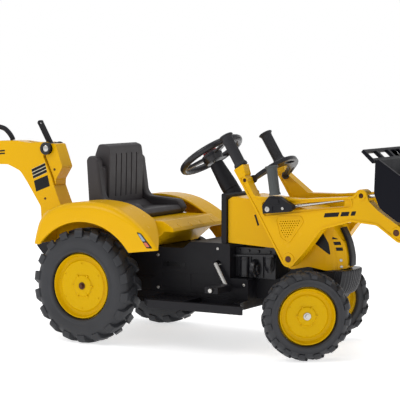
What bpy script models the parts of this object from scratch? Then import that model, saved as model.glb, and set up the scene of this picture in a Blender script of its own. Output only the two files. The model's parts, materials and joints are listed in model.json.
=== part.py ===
"""Ride-on pedal digger: a backhoe loader with pedals, steering, a front loader and a rear excavator.

Metres, +Z up, +X forwards, +Y to the driver's left. Positions below are written from the rear axle's
centre line on the ground, and one parent empty moves the whole model so that the middle of its
bounding box stands on the origin. It is drawn with the steering turned to its left stop, the loader
raised and its bucket level.
"""

import math

import bmesh
import bpy
from mathutils import Matrix, Vector

# Driving dimensions
ORIGIN_SHIFT_X = -0.1920
GAP = 0.0003
SHARP_ANGLE = 35
WALL = 0.006

PIN_RADIUS = 0.008
PIN_BORE = PIN_RADIUS + 0.0004

REAR_WHEEL_RADIUS = 0.155
REAR_TYRE_WIDTH = 0.082
REAR_TYRE_FACE_Y = 0.241
REAR_RIM_RADIUS = 0.090
HUB_RECESS = 0.015
FRONT_WHEEL_RADIUS = 0.114
FRONT_TYRE_WIDTH = 0.056
FRONT_RIM_RADIUS = 0.075
WHEEL_STEPS = 32

WHEELBASE = 0.592
KINGPIN_Y = 0.100
STUB_FACE = 0.102
STEER_ANGLE = math.radians(38)
STEERING_ARM = 0.050
TIE_ROD_Z = 0.086

STEERING_WHEEL_CENTRE = (0.271, 0.0, 0.505)
STEERING_WHEEL_RADIUS = 0.095
STEERING_WHEEL_GRIP = 0.009
COLUMN_LEAN = math.radians(34)
SHAFT_LENGTH = 0.467

REAR_AXLE = (0.0, REAR_WHEEL_RADIUS)
CRANK_AXIS = (0.345, 0.222)
CRANK_LENGTH = 0.068
CRANK_ANGLE = math.radians(-58)
CRANK_SPROCKET_RADIUS = 0.026
PEDAL_HALF_LENGTH = 0.0195
PEDAL_HALF_HEIGHT = 0.0085
PEDAL_INNER_Y = 0.120
PEDAL_OUTER_Y = 0.193
CRANK_END_Y = 0.200
REAR_SPROCKET_RADIUS = 0.020
CHAIN_Y = 0.030

LOADER_PIVOT = (0.569, 0.250)
ARM_INNER_Y = 0.094
ARM_OUTER_Y = 0.126
ARM_MIDDLE_Y = 0.110
GRIP_SOCKET = (0.427, 0.484)
GRIP_LEAN = math.radians(31)
BUCKET_PIVOT = (0.866, 0.332)
BUCKET_HALF_WIDTH = 0.210
TILT_SLOPE = math.radians(6)
ROD_PIN = (0.826, 0.4245)
ROD_Y = -0.1125
ARM_BOSS = (0.771, 0.420)

SWING_X = -0.238
SWING_Z = 0.290
BOOM_HALF_WIDTH = 0.030
BOOM_LEVER_PIVOT = (-0.256, 0.512)
STICK_PIVOT = (-0.640, 0.455)
LEVER_CRANK = (0.0, -0.036)
DIGGER_BUCKET_PIVOT = (-0.622, 0.222)
DIGGER_BUCKET_HALF_WIDTH = 0.055

# Each finish: base colour, roughness, metallic
COLOURS = {
    "yellow_plastic": ((0.90, 0.55, 0.01), 0.30, 0.0),
    "black_plastic": ((0.018, 0.018, 0.020), 0.50, 0.0),
    "tyre_plastic": ((0.022, 0.023, 0.025), 0.62, 0.0),
    "seat_plastic": ((0.060, 0.060, 0.065), 0.55, 0.0),
    "grip_rubber": ((0.030, 0.030, 0.033), 0.70, 0.0),
    "grey_grip": ((0.120, 0.130, 0.140), 0.65, 0.0),
    "red_plastic": ((0.65, 0.010, 0.015), 0.30, 0.0),
    "steel": ((0.60, 0.60, 0.62), 0.28, 1.0),
}


def clear_scene():
    """Empties the startup scene."""
    for obj in list(bpy.data.objects):
        bpy.data.objects.remove(obj, do_unlink=True)


def new_collection(name):
    """A collection linked to the scene."""
    collection = bpy.data.collections.new(name)
    bpy.context.scene.collection.children.link(collection)
    return collection


clear_scene()
PARTS = new_collection("ride_on_digger")
CUTTERS = new_collection("cutters")


def empty(name, location, rotation=(0, 0, 0), parent=None):
    """An axis that other objects hang from."""
    obj = bpy.data.objects.new(name, None)
    PARTS.objects.link(obj)
    obj.location = location
    obj.rotation_euler = rotation
    obj.parent = parent
    return obj


ROOT = empty("digger_origin", (ORIGIN_SHIFT_X, 0, 0))


def principled(name, slot):
    """One node's own material, with its slot's finish."""
    colour, roughness, metallic = COLOURS[slot]
    material = bpy.data.materials.new(name)
    material.use_nodes = True
    shader = material.node_tree.nodes["Principled BSDF"]
    shader.inputs["Base Color"].default_value = (*colour, 1)
    shader.inputs["Roughness"].default_value = roughness
    shader.inputs["Metallic"].default_value = metallic
    return material


def solid_mesh(source):
    """The evaluated shape of a curve or modified mesh, welded, with its faces turned outwards."""
    bpy.context.view_layer.update()
    graph = bpy.context.evaluated_depsgraph_get()
    mesh = bpy.data.meshes.new_from_object(source.evaluated_get(graph))
    shape = bmesh.new()
    shape.from_mesh(mesh)
    bmesh.ops.remove_doubles(shape, verts=shape.verts, dist=1e-6)
    bmesh.ops.recalc_face_normals(shape, faces=shape.faces)
    shape.to_mesh(mesh)
    shape.free()
    return mesh


def place(name, mesh, slot, location, rotation=(0, 0, 0), parent=None):
    """A finished piece, or a cutter when slot is None."""
    obj = bpy.data.objects.new(name, mesh)
    (PARTS if slot else CUTTERS).objects.link(obj)
    obj.location = location
    obj.rotation_euler = rotation
    obj.parent = parent or ROOT
    mesh.materials.clear()
    if slot:
        mesh.materials.append(principled(name, slot))
    else:
        obj.hide_render = True
        obj.display_type = "WIRE"
    mesh.shade_smooth()
    mesh.set_sharp_from_angle(angle=math.radians(SHARP_ANGLE))
    return obj


def from_temporary(data_object):
    """Turns a working object into a plain mesh and removes it."""
    PARTS.objects.link(data_object)
    mesh = solid_mesh(data_object)
    bpy.data.objects.remove(data_object, do_unlink=True)
    return mesh


def arc(centre, radius, start, end, steps=8):
    """Points of a circular arc, in degrees, counter-clockwise when end is larger."""
    points = []
    for step in range(steps + 1):
        angle = math.radians(start + (end - start) * step / steps)
        points.append((centre[0] + radius * math.cos(angle), centre[1] + radius * math.sin(angle)))
    return points


def circle(centre, radius, steps=20):
    """Points of a full circle."""
    return arc(centre, radius, 0, 360, steps)[:-1]


def rounded(corners, steps=3):
    """A closed outline whose corners (x, z, radius) are rounded where the radius isn't zero."""
    points = []
    count = len(corners)
    for index, (x, z, radius) in enumerate(corners):
        corner = Vector((x, z))
        before = Vector(corners[index - 1][:2]) - corner
        after = Vector(corners[(index + 1) % count][:2]) - corner
        if radius <= 0:
            points.append((x, z))
            continue
        half = before.angle(after) / 2
        reach = min(radius / math.tan(half), 0.49 * before.length, 0.49 * after.length)
        first = corner + before.normalized() * reach
        last = corner + after.normalized() * reach
        for step in range(steps + 1):
            share = step / steps
            curve = first.lerp(corner, share).lerp(corner.lerp(last, share), share)
            points.append(tuple(curve))
    return points


def plain(points):
    """Points as corners that stay sharp, for an outline that rounded() finishes."""
    return [(x, z, 0) for x, z in points]


def strip(start, end, half):
    """The four corners of a straight band from start to end."""
    along = (Vector(end) - Vector(start)).normalized()
    across = Vector((-along.y, along.x)) * half
    a, b = Vector(start), Vector(end)
    return [tuple(a - across), tuple(b - across), tuple(b + across), tuple(a + across)]


def inset(points, distance):
    """The outline moved inwards by distance, corner by corner."""
    area = sum(a[0] * b[1] - b[0] * a[1] for a, b in zip(points, points[1:] + points[:1]))
    turn = 1 if area > 0 else -1
    moved = []
    count = len(points)
    for index, point in enumerate(points):
        here = Vector(point)
        before = (here - Vector(points[index - 1])).normalized()
        after = (Vector(points[(index + 1) % count]) - here).normalized()
        normal_before = Vector((-before.y, before.x)) * turn
        normal_after = Vector((-after.y, after.x)) * turn
        middle = (normal_before + normal_after).normalized()
        moved.append(tuple(here + middle * distance / max(0.3, middle.dot(normal_after))))
    return moved


def sheet_mesh(outlines, thickness):
    """A flat outline with holes, filled and given its thickness, in the local XY plane."""
    curve = bpy.data.curves.new("outline", "CURVE")
    curve.dimensions = "2D"
    curve.fill_mode = "BOTH"
    curve.extrude = thickness / 2
    for points in outlines:
        spline = curve.splines.new("POLY")
        spline.points.add(len(points) - 1)
        spline.use_cyclic_u = True
        for target, (x, y) in zip(spline.points, points):
            target.co = (x, y, 0, 1)
    return from_temporary(bpy.data.objects.new("outline", curve))


def side_plate(name, slot, outline, y_range, holes=(), pivot=(0.0, 0.0), parent=None):
    """A plate seen from the side: its outline is in X and Z, and it fills y_range."""
    outlines = [[(x - pivot[0], z - pivot[1]) for x, z in points] for points in (outline, *holes)]
    middle = (y_range[0] + y_range[1]) / 2
    mesh = sheet_mesh(outlines, abs(y_range[1] - y_range[0]))
    turned = (math.radians(90), 0, 0)
    return place(name, mesh, slot, (pivot[0], middle, pivot[1]), turned, parent)


def plan_plate(name, slot, outline, z_range, holes=(), parent=None):
    """A plate seen from above: its outline is in X and Y, and it fills z_range."""
    mesh = sheet_mesh([outline, *holes], z_range[1] - z_range[0])
    return place(name, mesh, slot, (0, 0, (z_range[0] + z_range[1]) / 2), (0, 0, 0), parent)


def box_mesh(size):
    """A block of that size about the local origin."""
    shape = bmesh.new()
    bmesh.ops.create_cube(shape, size=1)
    bmesh.ops.scale(shape, vec=size, verts=shape.verts)
    mesh = bpy.data.meshes.new("box")
    shape.to_mesh(mesh)
    shape.free()
    return mesh


def box(name, slot, low, high):
    """A block between two opposite corners."""
    size = [b - a for a, b in zip(low, high)]
    centre = [(a + b) / 2 for a, b in zip(low, high)]
    return place(name, box_mesh(size), slot, centre)


def turned_mesh(profile, steps, closed=False):
    """A profile of (radius, height) points turned round the local Z axis."""
    mesh = bpy.data.meshes.new("profile")
    edges = [(i, i + 1) for i in range(len(profile) - 1)]
    if closed:
        edges.append((len(profile) - 1, 0))
    mesh.from_pydata([(r, 0, h) for r, h in profile], edges, [])
    obj = bpy.data.objects.new("profile", mesh)
    screw = obj.modifiers.new("turn", "SCREW")
    screw.steps = steps
    screw.render_steps = steps
    screw.use_merge_vertices = True
    screw.merge_threshold = 0.00001
    return from_temporary(obj)


AXIS_OUT_RIGHT = (math.radians(90), 0, 0)
AXIS_OUT_LEFT = (math.radians(-90), 0, 0)


def outward(side):
    """The rotation that turns a profile's axis to point out of that side."""
    return AXIS_OUT_RIGHT if side < 0 else AXIS_OUT_LEFT


def rod(name, slot, start, end, radius, steps=16, parent=None):
    """A round bar between two points."""
    start = Vector(start)
    along = Vector(end) - start
    mesh = turned_mesh([(0, along.length), (radius, along.length), (radius, 0), (0, 0)], steps)
    rotation = along.to_track_quat("Z", "Y").to_euler()
    return place(name, mesh, slot, start, rotation, parent)


def tube(name, slot, points, radius, sides=2, parent=None, pivot=(0, 0, 0)):
    """A bent bar along the points."""
    curve = bpy.data.curves.new("bar", "CURVE")
    curve.dimensions = "3D"
    curve.bevel_depth = radius
    curve.bevel_resolution = sides
    curve.use_fill_caps = True
    spline = curve.splines.new("POLY")
    spline.points.add(len(points) - 1)
    for target, point in zip(spline.points, points):
        target.co = (*(Vector(point) - Vector(pivot)), 1)
    mesh = from_temporary(bpy.data.objects.new("bar", curve))
    return place(name, mesh, slot, pivot, (0, 0, 0), parent)


def smooth_path(points, per_span=4):
    """Points along a smooth curve through the given ones."""
    path = []
    padded = [points[0], *points, points[-1]]
    for index in range(1, len(padded) - 2):
        a, b, c, d = (Vector(p) for p in padded[index - 1 : index + 3])
        for step in range(per_span):
            t = step / per_span
            path.append(
                0.5 * (2 * b + (c - a) * t + (2 * a - 5 * b + 4 * c - d) * t**2
                       + (3 * b - a - 3 * c + d) * t**3)
            )
    path.append(Vector(points[-1]))
    return path


def combine(target, other, operation):
    """Cuts other from target, joins it or keeps what they share. Other becomes a hidden helper."""
    modifier = target.modifiers.new(operation.lower(), "BOOLEAN")
    modifier.operation = operation
    modifier.object = other
    modifier.solver = "EXACT"
    return target


def cut(target, *cutters):
    """Takes each cutter away from the target."""
    for cutter in cutters:
        combine(target, cutter, "DIFFERENCE")
    return target


def join(target, *additions):
    """Makes the target one solid with each addition."""
    for addition in additions:
        combine(target, addition, "UNION")
    return target


def on_column(distance, side=0.0, across=0.0):
    """A point on the steering column's line, distance down from the steering wheel's centre."""
    x, y, z = STEERING_WHEEL_CENTRE
    down = Vector((math.sin(COLUMN_LEAN), 0, -math.cos(COLUMN_LEAN)))
    back = Vector((-math.cos(COLUMN_LEAN), 0, -math.sin(COLUMN_LEAN)))
    return Vector((x, y, z)) + down * distance + back * across + Vector((0, side, 0))


def mirrored(points, side):
    """A plan outline on the right side (-1) or the left (1)."""
    return [(x, y * side) for x, y in points]


# ---------------------------------------------------------------- chassis


def chassis():
    """The black tub under the seat deck, open underneath, and the narrow beam under the hood."""
    outline = rounded([
        (-0.195, 0.150, 0.01), (-0.120, 0.105, 0.01), (0.436, 0.105, 0.01), (0.436, 0.186, 0.006),
        (0.382, 0.186, 0), (0.382, 0.277, 0.006), (0.262, 0.277, 0.012), (0.238, 0.258, 0.01),
        (-0.195, 0.258, 0.01),
    ], 2)
    hollow = [
        (-0.187, 0.050), (-0.187, 0.252), (0.241, 0.252), (0.265, 0.271), (0.377, 0.271),
        (0.377, 0.180), (0.428, 0.180), (0.428, 0.050),
    ]
    x, z = LOADER_PIVOT
    beam = rounded([
        (0.430, 0.130, 0), (0.650, 0.130, 0.01), (0.667, 0.150, 0.006), (0.667, 0.212, 0.006),
        (0.600, 0.212, 0.01), (x + 0.020, z + 0.018, 0.012), (x - 0.020, z + 0.018, 0.012),
        (0.540, 0.212, 0.01), (0.500, 0.186, 0.006), (0.430, 0.182, 0),
    ], 2)
    frame = side_plate("chassis_frame", "black_plastic", outline, (-0.095, 0.095))
    cut(frame, side_plate("chassis_hollow", None, hollow, (-0.087, 0.087)))
    join(frame, side_plate("front_beam", None, beam, (-0.045, 0.045)))
    cut(
        frame,
        rod("axle_bore", None, (0, -0.12, REAR_AXLE[1]), (0, 0.12, REAR_AXLE[1]), PIN_BORE),
        rod("crank_bore", None, (CRANK_AXIS[0], -0.12, CRANK_AXIS[1]),
            (CRANK_AXIS[0], 0.12, CRANK_AXIS[1]), 0.0104),
        rod("pivot_bore", None, (x, -0.06, z), (x, 0.06, z), PIN_BORE),
        rod("shaft_way", None, on_column(0.25), on_column(0.50), 0.013),
    )


def axle_beam():
    """A cross beam under the front frame with a sleeve for each kingpin."""
    beam = box("front_axle_beam", "steel", (WHEELBASE - 0.012, -0.094, 0.1105),
               (WHEELBASE + 0.012, 0.094, 0.1295))
    for side in (-1, 1):
        sleeve = turned_mesh([(0, 0.160), (0.016, 0.160), (0.016, 0.1110), (0, 0.1110)], 16)
        join(beam, place(f"sleeve_{side}", sleeve, None, (WHEELBASE, side * KINGPIN_Y, 0)))
        cut(beam, rod(f"kingpin_bore_{side}", None, (WHEELBASE, side * KINGPIN_Y, 0.10),
                      (WHEELBASE, side * KINGPIN_Y, 0.17), 0.0075))


def running_board(name, side):
    """A footboard whose front edge follows the circle that the steered tyre sweeps."""
    sweep = math.hypot(STUB_FACE, FRONT_WHEEL_RADIUS) + 0.002
    inner = 0.095 + GAP
    outer = 0.215
    front = []
    for step in range(7):
        y = outer - 0.004 - (outer - 0.004 - inner) * step / 6
        front.append((WHEELBASE - math.sqrt(sweep**2 - (y - KINGPIN_Y) ** 2), y))
    outline = [(0.175, inner), (0.175, 0.190), (0.200, outer), (front[0][0] - 0.006, outer), *front]
    board = plan_plate(name, "black_plastic", mirrored(outline, side), (0.110, 0.131))
    well = [(0.300, 0.106), (0.300, 0.199), (front[0][0] + 0.004, 0.199), (0.424, 0.150),
            (0.424, 0.106)]
    cut(board, plan_plate(f"{name}_well", None, mirrored(well, side), (0.118, 0.140)))


def engine_block():
    """The moulded motor under the hood, with a row of cylinders down each side."""
    block = box("engine_block", "black_plastic", (0.3825, -0.062, 0.1865), (0.500, 0.062, 0.266))
    for side in (-1, 1):
        for index in range(4):
            x = 0.399 + 0.028 * index
            join(block, rod(f"cylinder_{side}_{index}", None, (x, side * 0.060, 0.192),
                            (x, side * 0.060, 0.262), 0.011, 10))
    cut(block, rod("shaft_way_2", None, on_column(0.20), on_column(0.45), 0.013))


def dashboard():
    """The panel behind the hood, with a collar round the steering shaft."""
    outline = rounded([(0.3545, 0.2775, 0), (0.3695, 0.2775, 0), (0.3695, 0.406, 0.004),
                       (0.3545, 0.410, 0.004)], 2)
    panel = side_plate("dashboard", "black_plastic", outline, (-0.0925, 0.0925))
    join(panel, rod("column_collar", None, on_column(0.1125), on_column(0.135), 0.024))
    cut(panel, rod("shaft_way_3", None, on_column(0.06), on_column(0.22), 0.0085))


HOOD_SIDE = [
    (0.370, 0.279, 0), (0.506, 0.271, 0.01), (0.545, 0.216, 0.02), (0.596, 0.226, 0.03),
    (0.640, 0.217, 0.03), (0.686, 0.222, 0.004), (0.688, 0.250, 0.02), (0.679, 0.290, 0.03),
    (0.652, 0.340, 0.03), (0.600, 0.374, 0.04), (0.500, 0.392, 0.04), (0.384, 0.401, 0.012),
    (0.370, 0.392, 0.006),
]
HOOD_PLAN = [
    (0.370, -0.085), (0.500, -0.080), (0.640, -0.052), (0.660, -0.045), (0.6885, -0.016),
    (0.6885, 0.016), (0.660, 0.045), (0.640, 0.052), (0.500, 0.080), (0.370, 0.085),
]


def hood():
    """A one-piece shell that narrows to the nose, open underneath."""
    side = rounded(HOOD_SIDE, 3)
    shell = side_plate("hood", "yellow_plastic", side, (-0.086, 0.086))
    combine(shell, plan_plate("hood_plan", None, HOOD_PLAN, (0.15, 0.45)), "INTERSECT")
    hollow_side = [
        (0.377, 0.150), (0.680, 0.150), (0.682, 0.250), (0.673, 0.288), (0.648, 0.334),
        (0.598, 0.367), (0.500, 0.385), (0.377, 0.393),
    ]
    hollow_plan = inset(HOOD_PLAN, WALL)
    hollow = side_plate("hood_hollow", None, hollow_side, (-0.086, 0.086))
    combine(hollow, plan_plate("hood_hollow_plan", None, hollow_plan, (0.14, 0.46)), "INTERSECT")
    x, z = LOADER_PIVOT
    cut(
        shell,
        hollow,
        rod("hood_pin_hole", None, (x, -0.12, z), (x, 0.12, z), 0.0115),
        rod("hood_column_hole", None, on_column(0.06), on_column(0.20), 0.0135),
    )


def grille():
    """A narrow black strip down the nose."""
    outline = [
        (0.6892, 0.228), (0.6892, 0.250), (0.6802, 0.291), (0.6640, 0.322), (0.6725, 0.324),
        (0.6865, 0.293), (0.6955, 0.251), (0.6955, 0.228),
    ]
    side_plate("grille_panel", "black_plastic", outline, (-0.014, 0.014))


def bumper():
    """The curved front weight."""
    outline = rounded([
        (0.6675, 0.156, 0.004), (0.686, 0.152, 0.01), (0.701, 0.185, 0.02), (0.706, 0.220, 0.004),
        (0.6675, 0.220, 0),
    ], 3)
    plan = [(0.66, -0.055), (0.697, -0.055), (0.703, -0.035), (0.706, 0.0), (0.703, 0.035),
            (0.697, 0.055), (0.66, 0.055)]
    weight = side_plate("front_bumper", "black_plastic", outline, (-0.060, 0.060))
    combine(weight, plan_plate("bumper_plan", None, plan, (0.10, 0.30)), "INTERSECT")


def rear_deck():
    """The yellow body between the mudguards, with a lip at the front, open underneath."""
    outline = rounded([
        (-0.190, 0.2585, 0), (0.150, 0.2585, 0), (0.203, 0.303, 0.004), (0.233, 0.303, 0.004),
        (0.197, 0.332, 0.01), (-0.150, 0.332, 0.01), (-0.190, 0.300, 0.01),
    ], 2)
    hollow = [
        (-0.182, 0.200), (0.142, 0.200), (0.142, 0.2645), (0.192, 0.318), (0.192, 0.324),
        (-0.148, 0.324), (-0.182, 0.296),
    ]
    deck = side_plate("rear_deck", "yellow_plastic", outline, (-0.1335, 0.1335))
    cut(deck, side_plate("deck_hollow", None, hollow, (-0.127, 0.127)))


GUARD_TOP = [
    (-0.155, 0.262, 0), (-0.137, 0.338, 0.02), (-0.112, 0.358, 0.02), (-0.050, 0.376, 0.05),
    (0.030, 0.383, 0.06), (0.100, 0.374, 0.05), (0.163, 0.342, 0.05), (0.205, 0.312, 0.03),
    (0.245, 0.264, 0.004), (0.166, 0.253, 0.004),
]


def mudguard(name, side):
    """An arched shell over the tyre, with a wall on its outer side."""
    arch = arc((0.008, 0.1475), 0.181, 36, 141, 12)
    outline = rounded(GUARD_TOP + plain(arch), 2)
    y_range = sorted((side * 0.134, side * 0.238))
    guard = side_plate(name, "yellow_plastic", outline, y_range)
    top = [(-0.149, 0.200), (-0.131, 0.335), (-0.109, 0.352), (-0.050, 0.3695), (0.030, 0.377),
           (0.098, 0.368), (0.159, 0.337), (0.200, 0.307), (0.234, 0.268), (0.166, 0.2585),
           (0.150, 0.200)]
    cut(guard, side_plate(f"{name}_hollow", None, top, sorted((side * 0.120, side * 0.231))))


def seat():
    """A moulded seat with raised bolsters and a higher middle back."""
    pan = rounded([
        (-0.040, 0.3325, 0.01), (0.112, 0.3325, 0.01), (0.124, 0.352, 0.008), (0.106, 0.374, 0.012),
        (-0.002, 0.380, 0.02), (-0.020, 0.493, 0.008), (-0.040, 0.500, 0.008), (-0.054, 0.491, 0.008),
        (-0.046, 0.360, 0.01),
    ], 2)
    shell = side_plate("seat", "seat_plastic", pan, (-0.125, 0.125))
    scoop = [(0.140, 0.357), (0.020, 0.353), (0.006, 0.372), (-0.006, 0.520), (0.160, 0.520)]
    back = rounded([(-0.047, 0.365, 0), (-0.012, 0.365, 0), (-0.002, 0.529, 0.01),
                    (-0.040, 0.531, 0.01)], 2)
    cut(shell, side_plate("seat_scoop", None, scoop, (-0.098, 0.098)))
    join(shell, side_plate("seat_back", None, back, (-0.085, 0.085)))


# ---------------------------------------------------------------- wheels and pedals


def tyre_profile(radius, rim, width):
    """A closed ring section: heights run from the inner side (0) to the outer side (width)."""
    shoulder = 0.012
    return [
        (rim + GAP, width - 0.012), (rim + 0.006, width - 0.003), (radius - 0.030, width),
        (radius - shoulder, width - 0.006), (radius, width - 0.020), (radius, 0.020),
        (radius - shoulder, 0.006), (radius - 0.030, 0), (rim + 0.006, 0.003), (rim + GAP, 0.012),
    ]


def rim_profile(rim, width, bore):
    """A dished disc with a raised lip and a hub."""
    return [
        (rim, width - 0.014), (rim - 0.005, width - 0.012), (rim - 0.010, width - 0.018),
        (rim - 0.018, width - 0.026), (0.024, width - 0.022), (0.022, width - HUB_RECESS),
        (bore, width - HUB_RECESS), (bore, 0.010), (0.022, 0.010), (0.024, width - 0.034),
        (rim - 0.012, width - 0.038), (rim - 0.006, 0.014), (rim, 0.014),
    ]


def wheel(prefix, side_name, side, radius, width, rim, bore, centre, outer_face, parent):
    """Tyre, rim and hub bolt on one axis. outer_face is how far out of the parent the tyre reaches."""
    inner_face = outer_face - width
    at = (centre[0], centre[1] + side * inner_face, centre[2])
    turn = outward(side)
    tyre = turned_mesh(tyre_profile(radius, rim, width), WHEEL_STEPS, True)
    place(f"{prefix}_tyre_{side_name}", tyre, "tyre_plastic", at, turn, parent)
    disc = turned_mesh(rim_profile(rim, width, bore), WHEEL_STEPS, True)
    place(f"{prefix}_rim_{side_name}", disc, "yellow_plastic", at, turn, parent)
    face = width - HUB_RECESS + GAP
    bolt = turned_mesh([(0, face + 0.008), (0.006, face + 0.008), (0.008, face + 0.002),
                        (0.012, face + 0.002), (0.012, face), (0, face)], 12)
    place(f"{prefix}_wheel_bolt_{side_name}", bolt, "steel", at, turn, parent)


def rear_wheels():
    """The axle, the wheels at its ends and the sprocket that drives it."""
    axle_end = REAR_TYRE_FACE_Y - HUB_RECESS - 0.0005
    z = REAR_AXLE[1]
    rod("rear_axle", "steel", (0, -axle_end, z), (0, axle_end, z), PIN_RADIUS, 16)
    for side, side_name in ((-1, "right"), (1, "left")):
        wheel("rear", side_name, side, REAR_WHEEL_RADIUS, REAR_TYRE_WIDTH, REAR_RIM_RADIUS,
              PIN_RADIUS + GAP, (0, 0, z), REAR_TYRE_FACE_Y, ROOT)
    sprocket("rear_sprocket", (0, CHAIN_Y, z), REAR_SPROCKET_RADIUS, 10, PIN_RADIUS + GAP)


def sprocket(name, centre, radius, teeth, bore):
    """A flat toothed disc on the chain's line."""
    outline = []
    for tooth in range(teeth):
        for share, reach in ((0.0, -0.004), (0.35, -0.004), (0.5, 0.0), (0.8, 0.0)):
            angle = 2 * math.pi * (tooth + share) / teeth
            outline.append(((radius + reach) * math.cos(angle), (radius + reach) * math.sin(angle)))
    mesh = sheet_mesh([outline, circle((0, 0), bore, 16)], 0.004)
    place(name, mesh, "steel", centre, AXIS_OUT_RIGHT)


def pedals():
    """A bent crank across the chassis, its sprocket and two pedals half a turn apart."""
    x, z = CRANK_AXIS
    arm = Vector((math.cos(CRANK_ANGLE), 0, math.sin(CRANK_ANGLE))) * CRANK_LENGTH
    axis = Vector((x, 0, z))
    across = Vector((0, 1, 0))
    path = [
        axis + arm - across * CRANK_END_Y, axis + arm - across * 0.111, axis - across * 0.105,
        axis + across * 0.105, axis - arm + across * 0.111, axis - arm + across * CRANK_END_Y,
    ]
    tube("pedal_crank", "steel", path, 0.006, 2, pivot=tuple(axis))
    sprocket("crank_sprocket", (x, CHAIN_Y, z), CRANK_SPROCKET_RADIUS, 13, 0.0065)
    for side, side_name in ((-1, "right"), (1, "left")):
        centre = axis - side * arm
        inner, outer = sorted((side * PEDAL_INNER_Y, side * PEDAL_OUTER_Y))
        pedal = box(
            f"pedal_{side_name}", "black_plastic",
            (centre.x - PEDAL_HALF_LENGTH, inner, centre.z - PEDAL_HALF_HEIGHT),
            (centre.x + PEDAL_HALF_LENGTH, outer, centre.z + PEDAL_HALF_HEIGHT),
        )
        cut(pedal, rod(f"pedal_bore_{side_name}", None, (centre.x, side * 0.10, centre.z),
                       (centre.x, side * 0.22, centre.z), 0.0066))
        middle = (PEDAL_INNER_Y + PEDAL_OUTER_Y) / 2
        pedal.data.transform(Matrix.Translation((0, side * middle, 0)))
        pedal.location.y = 0


def chain():
    """A closed loop round both sprockets."""
    rear = Vector(REAR_AXLE)
    front = Vector(CRANK_AXIS)
    along = front - rear
    lean = math.degrees(math.atan2(along.y, along.x))
    spread = math.degrees(math.asin((CRANK_SPROCKET_RADIUS - REAR_SPROCKET_RADIUS) / along.length))

    def loop(extra):
        top, bottom = lean + 90 + spread, lean - 90 - spread
        points = arc(tuple(front), CRANK_SPROCKET_RADIUS + extra, bottom, top, 12)
        points += arc(tuple(rear), REAR_SPROCKET_RADIUS + extra, top, bottom + 360, 10)
        return points

    width = (CHAIN_Y - 0.003, CHAIN_Y + 0.003)
    side_plate("drive_chain", "steel", loop(0.0052), width, [loop(0.0012)])


# ---------------------------------------------------------------- steering


def steering_gear():
    """Wheel, horn button and a straight shaft that ends in a crank between the tie rod's prongs."""
    hub = empty("steering_axis", STEERING_WHEEL_CENTRE, (0, -COLUMN_LEAN, 0), ROOT)
    grip = STEERING_WHEEL_GRIP
    ring = turned_mesh(circle((STEERING_WHEEL_RADIUS - grip, 0), grip, 8), 32, True)
    wheel_object = place("steering_wheel", ring, "black_plastic", (0, 0, 0), (0, 0, 0), hub)
    boss_profile = [(0, 0.004), (0.026, 0.004), (0.030, -0.004), (0.024, -0.022), (0, -0.022)]
    boss = turned_mesh(boss_profile, 20)
    join(wheel_object, place("steering_boss", boss, None, (0, 0, 0), (0, 0, 0), hub))
    for index in range(3):
        angle = STEER_ANGLE + math.radians(180 + 120 * index)
        tip = STEERING_WHEEL_RADIUS - 0.010
        spoke = box_mesh((tip - 0.015, 0.020, 0.008))
        spoke.transform(Matrix.Translation(((tip + 0.015) / 2, 0, -0.004)))
        join(wheel_object, place(f"spoke_{index}", spoke, None, (0, 0, 0), (0, 0, angle), hub))
    bore = turned_mesh([(0, -0.006), (0.0055, -0.006), (0.0055, -0.03), (0, -0.03)], 12)
    cut(wheel_object, place("wheel_bore", bore, None, (0, 0, 0), (0, 0, 0), hub))
    button_profile = [(0, 0.017), (0.016, 0.017), (0.020, 0.013), (0.020, 0.0075), (0, 0.0075)]
    button = turned_mesh(button_profile, 20)
    place("horn_button", button, "red_plastic", (0, 0, 0), (0, 0, 0), hub)
    reach = STEERING_ARM * math.cos(STEER_ANGLE)
    offset = -STEERING_ARM * math.sin(STEER_ANGLE)
    path = [
        on_column(0.0065), on_column(SHAFT_LENGTH), on_column(SHAFT_LENGTH + 0.002, offset, reach),
        on_column(SHAFT_LENGTH + 0.022, offset, reach),
    ]
    tube("steering_shaft", "steel", path, 0.005, 2, pivot=STEERING_WHEEL_CENTRE)
    sleeve = turned_mesh([(0.019, -0.027), (0.024, -0.095), (0.024, -0.112), (0.0075, -0.112),
                          (0.0075, -0.027)], 20, True)
    place("steering_column_sleeve", sleeve, "black_plastic", STEERING_WHEEL_CENTRE,
          (0, -COLUMN_LEAN, 0))


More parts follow.
